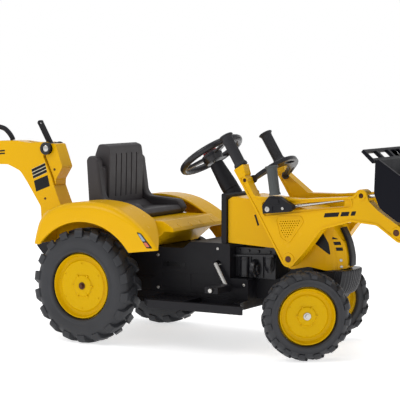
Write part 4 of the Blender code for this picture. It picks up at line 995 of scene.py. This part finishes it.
def pedals_and_gear():
    """Pedals with ribbed treads, and the steel drive and steering parts with softened edges."""
    for node in ("pedal_right", "pedal_left"):
        low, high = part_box(node)
        middle = (low + high) / 2 - Vector((AXLE_X, 0, 0))
        size = high - low
        cutters = []
        for index in range(6):
            y = middle.y + (index - 2.5) * 0.0105
            for top in (-1, 1):
                z = middle.z + top * size.z / 2
                cutters.append(block((middle.x - size.x * 0.42, y - 0.0018, z - 0.0016),
                                     (middle.x + size.x * 0.42, y + 0.0018, z + 0.0016)))
        refine(node, BLACK, 0.0018, 3, 32, cutters)
    for node, width in (
            ("pedal_crank", 0.0008), ("crank_sprocket", 0.0005), ("rear_axle", 0.0008),
            ("front_axle_beam", 0.0014), ("steering_knuckle_right", 0.0010),
            ("steering_knuckle_left", 0.0010), ("tie_rod", 0.0010), ("steering_shaft", 0.0008)):
        refine(node, STEEL, width, 2, 40)
    sprocket()
    dash = [block((0.3530, y - 0.030, 0.330), (0.3552, y + 0.030, 0.372)) for y in (-0.045, 0.045)]
    refine("dashboard", BLACK, 0.0016, 2, 32, dash)
    refine("steering_column_sleeve", BLACK, 0.0018, 3, 32)
    refine("swing_base", BLACK, 0.0018, 3, 32)
    chain()


def middle_y(node):
    low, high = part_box(node)
    return (low.y + high.y) / 2


def sprocket():
    """The rear axle's sprocket, with teeth that reach into the chain's links."""
    teeth, root, tip, half_width = 10, 0.0155, 0.0190, 0.0018
    y = middle_y("rear_sprocket")
    outline = []
    for tooth in range(teeth):
        for share, reach in ((0.00, root), (0.30, root), (0.52, tip), (0.78, tip)):
            angle = 2 * math.pi * (tooth + share) / teeth
            outline.append((reach * math.cos(angle), REAR_RADIUS + reach * math.sin(angle)))
    disc = prism(outline, y - half_width, y + half_width)
    cut(disc, y_rod(0, REAR_RADIUS, 0, 0.06, 0.0083))
    shell(soften(disc, 0.0004, 2, 30), "rear_sprocket", STEEL)


def chain():
    """A roller chain: alternating side plates and rollers along the loop of the CAD's chain."""
    y = middle_y("drive_chain")
    rear, front = Vector((0, REAR_RADIUS)), Vector(CRANK)
    rear_radius, front_radius = 0.0236, 0.0292
    pitch = 0.0127
    along = front - rear
    lean = math.degrees(math.atan2(along.y, along.x))
    taper = math.degrees(math.asin((front_radius - rear_radius) / along.length))
    loop = arc(front, front_radius, lean - 90 - taper, lean + 90 + taper, 40)
    loop += arc(rear, rear_radius, lean + 90 + taper, lean + 270 - taper, 40)
    points = [Vector(p) for p in loop]
    points.append(points[0])
    lengths = [(b - a).length for a, b in zip(points, points[1:])]
    total = sum(lengths)
    links = 2 * round(total / (2 * pitch))
    pins = []
    for index in range(links):
        want = total * index / links
        for a, b, size in zip(points, points[1:], lengths):
            if want <= size:
                pins.append(a.lerp(b, want / size))
                break
            want -= size
    shapes = []
    for index, pin in enumerate(pins):
        after = pins[(index + 1) % links]
        shapes.append(y_rod(pin.x, pin.y, y - 0.0030, y + 0.0030, 0.0017, 10))
        offset = 0.0019 if index % 2 else 0.0026
        waist = fillet(strip(pin - (after - pin) * 0.18, after + (after - pin) * 0.18, 0.0024), 0.0022, 3)
        for side in (-1, 1):
            shapes.append(prism(waist, y + side * offset - 0.0003, y + side * offset + 0.0003))
    piece(gather(shapes), "drive_chain_links", STEEL, ("drive_chain",))


# ---------------------------------------------------------------- steering


STEERING_RADIUS = 0.0860
STEERING_THICK = 0.0090


def steering():
    """The steering wheel, turned with the front wheels, the ribs on its rim and the horn button."""
    turn = Matrix.Translation(WHEEL_CENTRE) @ Matrix.Rotation(-LEAN, 4, "Y")
    wheel = lathe(arc((STEERING_RADIUS, 0), STEERING_THICK, 0, 360, 24)[:-1], 96, closed=True)
    boss = lathe([(0, 0.004), (0.024, 0.004), (0.0285, 0.002), (0.030, -0.004), (0.0285, -0.010),
                  (0.024, -0.022), (0, -0.022)], 48)
    parts = [boss]
    for index in range(3):
        spin = Matrix.Rotation(STEER + math.radians(180 + 120 * index), 4, "Z")
        spoke = plate([(0.015, -0.0120), (0.060, -0.0080), (0.084, -0.0125), (0.084, 0.0125),
                       (0.060, 0.0080), (0.015, 0.0120)], 0.006, 4, -0.0075, 0.0005, "xy")
        soften(spoke, 0.0026, 3, 35)
        slot = plate([(0.034, -0.0028), (0.072, -0.0024), (0.072, 0.0024), (0.034, 0.0028)], 0.002, 3,
                     -0.0022, 0.003, "xy")
        parts.append(moved(cut(spoke, slot), spin))
    join(wheel, *parts)
    cut(wheel, lathe([(0, -0.006), (0.0055, -0.006), (0.0055, -0.03), (0, -0.03)], 24))
    soften(wheel, 0.0007, 2, 42)
    shell(moved(wheel, turn), "steering_wheel", SATIN)
    grips = []
    for k in range(36):
        if k % 9 in (0, 8):
            continue
        angle = STEER + 2 * math.pi * k / 36
        bead = lathe([(0, -0.0010), (0.0088, -0.0010), (0.0094, 0), (0.0088, 0.0010), (0, 0.0010)], 20)
        moved(bead, Matrix.Rotation(math.radians(90), 4, "X"))
        out = Matrix.Translation((STEERING_RADIUS, 0, 0))
        grips.append(moved(bead, Matrix.Rotation(angle, 4, "Z") @ out))
    piece(moved(gather(grips), turn), "steering_wheel_ribs", RUBBER, body="steering")
    button = lathe([(0, 0.0170), (0.010, 0.0168), (0.0150, 0.0158), (0.0180, 0.0140), (0.0195, 0.0115),
                    (0.0200, 0.0090), (0.0200, 0.0075), (0, 0.0075)], 48)
    mark = lathe([(0.0070, 0.0190), (0.0070, 0.0160), (0.0085, 0.0160), (0.0085, 0.0190)], 40, closed=True)
    button = cut(button, mark)
    shell(moved(soften(button, 0.0003, 1, 40), turn), "horn_button", RED)


# ---------------------------------------------------------------- front loader


def tilt_line(distance, offset=0.0):
    """A point beside the tilt handle's line of travel, in the right arm's plane."""
    slope = math.radians(6)
    along = Vector((math.cos(slope), math.sin(slope)))
    across = Vector((-along.y, along.x))
    point = Vector((0.519, 0.3775)) + along * distance + across * offset
    return point.x, point.y


def arm_outline(left):
    """The arm seen from the side. The left one has a longer top edge behind its gusset."""
    top_rear = [(0.441, 0.463, 0.002), (0.517, 0.405, 0.004)] if left else [
        (0.441, 0.463, 0.002), (0.472, 0.408, 0.012)]
    corners = [(0.410, 0.474, 0.002), (0.437, 0.490, 0.002)] + top_rear
    corners += [(0.604, 0.4055, 0.02), (0.748, 0.417, 0.004)]
    corners += plain(arc(BOSS, 0.016, 160, 10, 16))
    corners += [(BOSS[0] + 0.021, BOSS[1] - 0.013, 0.01), (0.817, 0.385, 0.01)]
    corners += plain(arc((BUCKET_PIN[0] + 0.010, BUCKET_PIN[1] - 0.006), 0.018, 60, -125, 18))
    corners += [(0.813, 0.348, 0.02), (0.745, 0.354, 0.03), (0.661, 0.330, 0.03), (0.622, 0.279, 0.02)]
    corners += plain(arc(PIVOT, 0.0205, -30, -150, 14))
    corners += [(0.5325, 0.272, 0.02), (0.470, 0.378, 0.05)]
    return rounded(corners, 6)


def loader_arm(side, side_name):
    """A blown arm: raised flange, round bosses, a slot for the tilt handle and a perforated panel."""
    left = side > 0
    outline = arm_outline(left)
    floor = ARM_OUT - 0.0022
    body = prism(outline, ARM_IN, ARM_OUT)
    for near, far in ((floor, ARM_OUT + 0.004), (ARM_IN - 0.0025, ARM_IN + 0.0022)):
        cut(body, prism(safe_inset(outline, 0.0050), near, far))
    start, end = ARM_IN + 0.001, ARM_OUT - 0.0004
    bosses = [
        y_rod(*PIVOT, start, end, 0.0165, 40, 0.0008),
        y_rod(*BOSS, start, end + 0.0002, 0.0120, 36, 0.0008),
        y_rod(*BUCKET_PIN, start, end, 0.0135, 36, 0.0008),
        y_rod(*REAR_BOSS, start, end - 0.0002, 0.0090, 32, 0.0008),
        plate([(0.412, 0.473), (0.437, 0.4895), (0.445, 0.462), (0.428, 0.452)], 0.003, 3, start, end),
    ]
    perforated = [(0.5285, 0.3590), (0.6060, 0.3625), (0.6130, 0.3480), (0.5690, 0.2880), (0.5440, 0.3040)]
    if left:
        gusset = fillet([(0.470, 0.440), (0.500, 0.411), (0.560, 0.411), (0.530, 0.395), (0.480, 0.392)],
                        0.006, 4)
        wall = plate([(0.459, 0.442), (0.512, 0.404), (0.566, 0.404), (0.540, 0.385), (0.478, 0.385)],
                     0.006, 4, start, end)
        bosses.append(cut(wall, prism(inset(gusset, 0.002), ARM_OUT - 0.003, ARM_OUT + 0.002)))
    else:
        rim = plate(perforated, 0.013, 6, floor - 0.002, floor + 0.0018)
        pad = plate(inset(perforated, 0.0035), 0.010, 6, floor - 0.0006, floor + 0.01)
        bosses.append(cut(rim, pad))
        pocket = [tilt_line(-0.028, -0.020), tilt_line(0.229, -0.013), tilt_line(0.229, 0.013),
                  tilt_line(-0.028, 0.022)]
        bosses.append(plate(pocket, 0.010, 6, ARM_IN + 0.004, end))
    join(body, *bosses)
    cutters = [
        y_rod(*PIVOT, 0.08, 0.14, 0.0084), y_rod(*BUCKET_PIN, 0.08, 0.14, 0.0084),
        y_rod(*BOSS, ARM_OUT - 0.006, 0.14, 0.0064), y_rod(*REAR_BOSS, ARM_OUT - 0.005, 0.14, 0.0054),
    ]
    if not left:
        sunk = [tilt_line(-0.024, -0.018), tilt_line(0.226, -0.011), tilt_line(0.226, 0.011),
                tilt_line(-0.024, 0.020)]
        cutters.append(plate(sunk, 0.009, 6, 0.1195, 0.130))
        cutters.append(plate(strip(tilt_line(-0.010), tilt_line(0.206), 0.0082), 0.006, 5, 0.080, 0.140))
        x, z = tilt_line(0.036)
        rod_way = strip((x, z - 0.0018), (ROD_PIN[0] + 0.02, ROD_PIN[1] + 0.0014), 0.0085)
        cutters.append(prism(rod_way, 0.080, 0.1185))
        lean = Matrix.Rotation(math.radians(4), 2)
        field = inset(perforated, 0.0085)
        holes = []
        for row in range(-8, 8):
            for col in range(-8, 9):
                step = Vector(((col + (0.5 if row % 2 else 0.0)) * 0.0066, row * 0.0057))
                point = Vector((0.578, 0.331)) + lean @ step
                if inside(point, field):
                    holes.append(y_rod(point.x, point.y, floor - 0.0085, floor + 0.004, 0.0016, 10))
        cutters.append(gather(holes))
    cut(body, *cutters)
    soften(body, 0.0013, 3, 42)
    moved(body, Matrix.Scale(side, 4, (0, 1, 0)))
    shell(body, f"loader_arm_{side_name}", YELLOW)

    heads = [
        screw_head((BOSS[0], side * (ARM_OUT - 0.0055), BOSS[1]), (0, side, 0), 0.0058, 0.0045),
        screw_head((REAR_BOSS[0], side * (ARM_OUT - 0.0048), REAR_BOSS[1]), (0, side, 0), 0.0050, 0.0040),
    ]
    piece(gather(heads), f"loader_arm_{side_name}_bolts", BRONZE, body="loader")
    if not left:
        rise = 0.10
        for index, (x, length) in enumerate(((0.668, 0.040), (0.714, 0.022), (0.742, 0.012))):
            low = 0.3615 + (x - 0.668) * rise
            far, up = x + length, length * rise
            stripe = [(x, low), (far, low + up), (far + 0.004, low + up + 0.011), (x + 0.004, low + 0.011)]
            patch(f"arm_stripe_{index}", stripe, side * (floor + 0.0006), side, INK_AND_SHADE, "loader", 0.001)


def inside(point, outline):
    """Whether the point lies within the closed outline."""
    odd = False
    for a, b in zip(outline, outline[1:] + outline[:1]):
        if (a[1] > point.y) != (b[1] > point.y):
            if point.x < (b[0] - a[0]) * (point.y - a[1]) / (b[1] - a[1]) + a[0]:
                odd = not odd
    return odd


def ribbed_grip(length, radius, flange, ribs, foot):
    """A grip with lengthways ribs and a flange at the top. Local Z runs from its foot to its top."""
    profile = [(0, length), (flange - 0.0025, length), (flange, length - 0.0015), (flange, length - 0.0045),
               (flange - 0.002, length - 0.0060), (radius + 0.0006, length - 0.0090),
               (radius, length - 0.014), (radius, foot + 0.004), (radius + 0.0014, foot),
               (radius + 0.0014, 0.0003), (0, 0.0003)]
    body = lathe(profile, 64)
    cutters = []
    for index in range(ribs):
        angle = 2 * math.pi * index / ribs
        at = Vector((math.cos(angle), math.sin(angle), 0)) * (radius + 0.0006)
        cutters.append(rod(at + Vector((0, 0, foot + 0.006)), at + Vector((0, 0, length - 0.015)), 0.0011, 8))
    return cut(body, gather(cutters))


def loader_controls():
    """The two steadying grips, the brace between the arms, and the tilt handle with its rod."""
    for side, side_name in SIDES:
        grip = ribbed_grip(0.092, 0.0148, 0.0190, 16, 0.008)
        collar = lathe([(0.0150, 0.0003), (0.0182, 0.0003), (0.0182, 0.0055), (0.0170, 0.0075),
                        (0.0150, 0.0075)], 48, closed=True)
        soften(join(grip, collar), 0.0004, 1, 40)
        lean = Matrix.Rotation(math.radians(-31), 4, "Y")
        moved(grip, Matrix.Translation((0.424, side * ARM_MID, 0.484)) @ lean)
        shell(grip, f"loader_grip_{side_name}", RUBBER)
    brace()
    for node in ("loader_pivot_pin", "bucket_pivot_pin"):
        refine(node, BRONZE, 0.0010, 2, 40)
    tilt_handle()
    refine("tilt_rod", STEEL, 0.0006, 2, 40)


def tilt_handle():
    """The grey-topped handle on the right arm, on its carriage with two bolt pads."""
    front_bolt, rear_bolt = (0.5630, -0.1462, 0.3815), (0.519, -0.1462, 0.3775)
    pads = [y_rod(x, z, y, -0.1400, 0.0098, 36, 0.0008) for x, y, z in (rear_bolt, front_bolt)]
    web = plate([(0.5235, 0.406), (0.5505, 0.406), (0.5540, 0.393), (0.5230, 0.391)], 0.003, 3,
                -0.1480, -0.1440)
    window = plate(oblong(0.5330, 0.5480, 0.3730, 0.3860), 0.003, 3, -0.150, -0.1440)
    refine("tilt_handle_base", BLACK, 0.0014, 3, 34, cutters=[window], adds=[*pads, web])
    washer = lathe([(0.0032, 0), (0.0066, 0), (0.0066, 0.0008), (0.0060, 0.0012), (0.0032, 0.0012)], 36,
                   closed=True)
    moved(washer, aim(rear_bolt, (rear_bolt[0], -0.2, rear_bolt[2])))
    heads = [washer, screw_head(rear_bolt, (0, -1, 0), 0.0032, 0.0016),
             screw_head(front_bolt, (0, -1, 0), 0.0040, 0.0022)]
    piece(gather(heads), "tilt_handle_bolts", STEEL, body="tilt_carriage")
    foot, top = Vector((0.537, -0.137, 0.4135)), Vector((0.526, -0.137, 0.489))
    grip = ribbed_grip((top - foot).length, 0.0136, 0.0170, 14, 0.004)
    soften(grip, 0.0004, 1, 40)
    shell(moved(grip, aim(foot, top)), "tilt_grip", GREY)


def brace():
    """A flat moulded bow between the arms with an oval opening at its crown."""
    side_curve = [(-0.004, 0.0937), (0.012, 0.0860), (0.030, 0.0740), (0.048, 0.0590), (0.062, 0.0380),
                  (0.069, 0.0180), (0.071, 0.0)]
    centre = smooth_path(side_curve, 6)
    outer, inner = [], []
    for index, point in enumerate(centre):
        half = 0.0085 + 0.0075 * min(1.0, index / (len(centre) * 0.6))
        tangent = (centre[min(index + 1, len(centre) - 1)] - centre[max(index - 1, 0)]).normalized()
        normal = Vector((-tangent.y, tangent.x))
        if normal.x < 0:
            normal = -normal
        outer.append(point + normal * half)
        inner.append(point - normal * half)
    outer[-1].y = inner[-1].y = 0
    outline = [tuple(p) for p in outer] + [(p.x, -p.y) for p in reversed(outer[:-1])]
    outline += [(p.x, -p.y) for p in inner[:-1]] + [tuple(p) for p in reversed(inner)]
    wall = ARM_IN - 0.0003
    outline = [(u, max(-wall, min(wall, v))) for u, v in outline]
    bow = clean(prism(outline, -0.0055, 0.0055, "xy"), 0.05)
    soften(bow, 0.0028, 3, 40)
    circle = arc((0, 0), 1, 0, 360, 36)[:-1]
    oval = [(0.0715 + 0.0055 * u, 0.026 * v) for u, v in circle]
    cutters = [prism(oval, -0.02, 0.02, "xy")]
    for side in (-1, 1):
        groove = fillet([(0.0200, side * 0.0790), (0.0420, side * 0.0620), (0.0460, side * 0.0670),
                         (0.0240, side * 0.0840)], 0.002, 3)
        cutters += [prism(groove, 0.0035, 0.02, "xy"), prism(groove, -0.02, -0.0035, "xy")]
    cut(bow, *cutters)
    soften(bow, 0.0012, 2, 40)
    lugs = [y_rod(0.0, 0.0, side * 0.0880, side * wall, 0.0105, 32, 0.0010) for side in (-1, 1)]
    join(bow, *lugs)
    lean = Matrix.Rotation(-math.atan2(0.047, 0.057), 4, "Y")
    moved(bow, Matrix.Translation((0.450, 0, 0.450)) @ lean)
    shell(bow, "arm_brace", SATIN)


def bucket():
    """The scoop with a raised rim on its side plates and ribs along its floor."""
    ribs = []
    for index in range(7):
        y = -0.168 + 0.056 * index
        ribs.append(plate(oblong(0.925, 1.045, 0.3700, 0.3736), 0.001, 2, y - 0.0025, y + 0.0025))
    rim_line = [(0.851, 0.514), (0.907, 0.4765), (1.051, 0.4265), (1.076, 0.3735)]
    for side in (-1, 1):
        for a, b in zip(rim_line, rim_line[1:]):
            ribs.append(prism(strip(a, b, 0.0030), *both(side, 0.2010, 0.2098)))
    refine("loader_bucket", BUCKET, 0.0016, 3, 34, adds=ribs)
    refine("bucket_spill_guard", BUCKET, 0.0020, 3, 34)


# ---------------------------------------------------------------- rear excavator


def excavator():
    """The boom with its covers, decals and screws, the lever, stick and digger bucket."""
    refine("boom", YELLOW, 0.0042, 4, 34)
    refine("boom_rear_cover", YELLOW, 0.0034, 4, 34)
    loop = [(-0.3985, 0.5330), (-0.4010, 0.5400), (-0.4130, 0.5545), (-0.4290, 0.5660), (-0.4500, 0.5705),
            (-0.4760, 0.5700), (-0.5000, 0.5690), (-0.5220, 0.5620), (-0.5320, 0.5480), (-0.5355, 0.5240)]
    handle = tube(smooth_path([Vector((x, 0, z)) for x, z in loop], 7), 0.0072, 20)
    knurls = []
    for x, z in ((-0.449, 0.5705), (-0.501, 0.5688)):
        ring = lathe([(0.0066, -0.0012), (0.0084, -0.0012), (0.0084, 0.0012), (0.0066, 0.0012)], 24,
                     closed=True)
        knurls.append(moved(ring, aim((x, 0, z), (x - 0.01, 0, z - 0.0004))))
    join(handle, *knurls)
    shell(soften(handle, 0.0006, 2, 50), "boom_handle", BLACK)
    refine("stick_drive_rod", STEEL, 0.0006, 2, 40)
    lever_grip()
    refine("dipper_stick", YELLOW, 0.0028, 4, 40)
    refine("digger_bucket", BUCKET, 0.0012, 3, 34)
    for side, side_name in SIDES:
        boom_marks(side, side_name)
        heads = [screw_head((x, side * y, z), (0, side, 0), 0.0036, 0.0018)
                 for x, y, z in ((-0.232, 0.0247, 0.452), (-0.262, 0.0295, 0.368))]
        piece(gather(heads), f"boom_screws_{side_name}", BRONZE, body="boom")


def boom_marks(side, side_name):
    """Dark bars over a cream backing on the boom's foot, and two long stripes further out."""
    start, end = Vector((-0.288, 0.470)), Vector((-0.258, 0.350))
    along = end - start
    across = Vector((-along.y, along.x)).normalized() * 0.0250

    def bar(name, material, y, first, last, lean):
        a, b = start + along * first, start + along * last
        down = across + Vector((0, lean))
        corners = [tuple(a - down), tuple(b - down), tuple(b + down), tuple(a + down)]
        patch(name, corners, side * y, side, material, "boom", 0.0008)

    bar(f"boom_mark_back_{side_name}", CREAM, 0.0302, 0.075, 0.305, 0.004)
    for index, (first, last, lean) in enumerate(((0.08, 0.145, 0.004), (0.16, 0.22, 0.004),
                                                 (0.235, 0.30, 0.004), (0.36, 0.62, 0.003))):
        bar(f"boom_mark_{side_name}_{index}", INK_AND_SHADE, 0.0304, first, last, lean)
    for index, z in enumerate((0.505, 0.497)):
        stripe = [(-0.405, z), (-0.545, z - 0.012), (-0.545, z - 0.0155), (-0.405, z - 0.0045)]
        patch(f"boom_stripe_{side_name}_{index}", stripe, side * 0.0304, side, INK_AND_SHADE, "boom", 0.0006)


def lever_grip():
    """The stick's lever, with a dark ring and a bright cap on its pivot."""
    refine("stick_lever", BLACK, 0.0012, 3, 34)
    for side, side_name in SIDES:
        at = Vector((LEVER[0], side * 0.0338, LEVER[1]))
        out = aim(at, at + Vector((0, side, 0)))
        ring = lathe([(0.0105, 0), (0.0180, 0), (0.0180, 0.0030), (0.0165, 0.0048), (0.0130, 0.0050),
                      (0.0105, 0.0035)], 48, closed=True)
        piece(moved(ring, out), f"lever_ring_{side_name}", SATIN, body="stick_lever")
        cap = lathe([(0, 0.0042), (0.0040, 0.0040), (0.0080, 0.0030), (0.0102, 0.0015), (0.0103, 0),
                     (0, 0)], 40)
        piece(moved(cap, out), f"lever_cap_{side_name}", STEEL, body="stick_lever")


# ---------------------------------------------------------------- studio


def studio():
    """A pale floor that fades up into the white surroundings, soft lights and the camera."""
    floor_material = surface("studio_floor", (0.88, 0.88, 0.88), 0.60, (60, 0.0), 0.01)
    shape = bmesh.new()
    bmesh.ops.create_grid(shape, x_segments=2, y_segments=2, size=8.0)
    floor = as_object(shape, "studio_floor")
    if floor.data.polygons[0].normal.z < 0:
        floor.data.flip_normals()
    glow = floor_material.node_tree.nodes["Principled BSDF"]
    glow.inputs["Emission Color"].default_value = (1, 1, 1, 1)
    glow.inputs["Emission Strength"].default_value = 0.62
    floor.data.materials.append(floor_material)
    floor.location.z = CAD_BOX[0].z - 0.0005

    world = bpy.data.worlds.new("studio")
    SCENE.world = world
    world.use_nodes = True
    nodes, links = world.node_tree.nodes, world.node_tree.links
    back = nodes["Background"]
    place = nodes.new("ShaderNodeTexCoord")
    split = nodes.new("ShaderNodeSeparateXYZ")
    sky = nodes.new("ShaderNodeValToRGB")
    sky.color_ramp.elements[0].position = 0.12
    sky.color_ramp.elements[0].color = (1, 1, 1, 1)
    sky.color_ramp.elements[1].position = 0.60
    sky.color_ramp.elements[1].color = (0.42, 0.42, 0.43, 1)
    links.new(place.outputs["Generated"], split.inputs["Vector"])
    links.new(split.outputs["Z"], sky.inputs["Fac"])
    links.new(sky.outputs["Color"], back.inputs["Color"])
    back.inputs["Strength"].default_value = 1.0

    def lamp(name, at, target, size, power, colour=(1, 1, 1)):
        light = bpy.data.lights.new(name, "AREA")
        light.shape = "RECTANGLE"
        light.size, light.size_y = size
        light.energy = power
        light.color = colour
        obj = bpy.data.objects.new(name, light)
        SCENE.collection.objects.link(obj)
        obj.location = at
        obj.rotation_euler = (Vector(target) - Vector(at)).to_track_quat("-Z", "Y").to_euler()
        return obj

    lamp("key", (-1.6, -2.2, 2.9), (0, 0, 0.2), (1.8, 1.4), 34)
    lamp("top", (0.3, 0.3, 2.8), (0, 0, 0.2), (2.4, 1.6), 20)
    lamp("side", (2.8, -1.6, 1.4), (0, 0, 0.25), (1.2, 1.2), 5)

    camera = bpy.data.cameras.new("camera")
    camera.lens = 139.2
    camera.sensor_width = 36
    obj = bpy.data.objects.new("camera", camera)
    SCENE.collection.objects.link(obj)
    azimuth, elevation = math.radians(30.242), math.radians(4.373)
    obj.location = (2.354 + AXLE_X, -3.634, 0.7025)
    looking = Vector((-math.sin(azimuth) * math.cos(elevation), math.cos(azimuth) * math.cos(elevation),
                      -math.sin(elevation)))
    obj.rotation_euler = looking.to_track_quat("-Z", "Y").to_euler()
    SCENE.camera = obj
    SCENE.view_settings.view_transform = "Standard"


def build():
    wheels()
    for side, side_name in SIDES:
        mudguard(side, side_name)
    rear_deck()
    seat()
    chassis()
    footboards()
    engine()
    hood()
    grille()
    bumper()
    pedals_and_gear()
    steering()
    for side, side_name in SIDES:
        loader_arm(side, side_name)
    loader_controls()
    bucket()
    excavator()
    studio()


build()
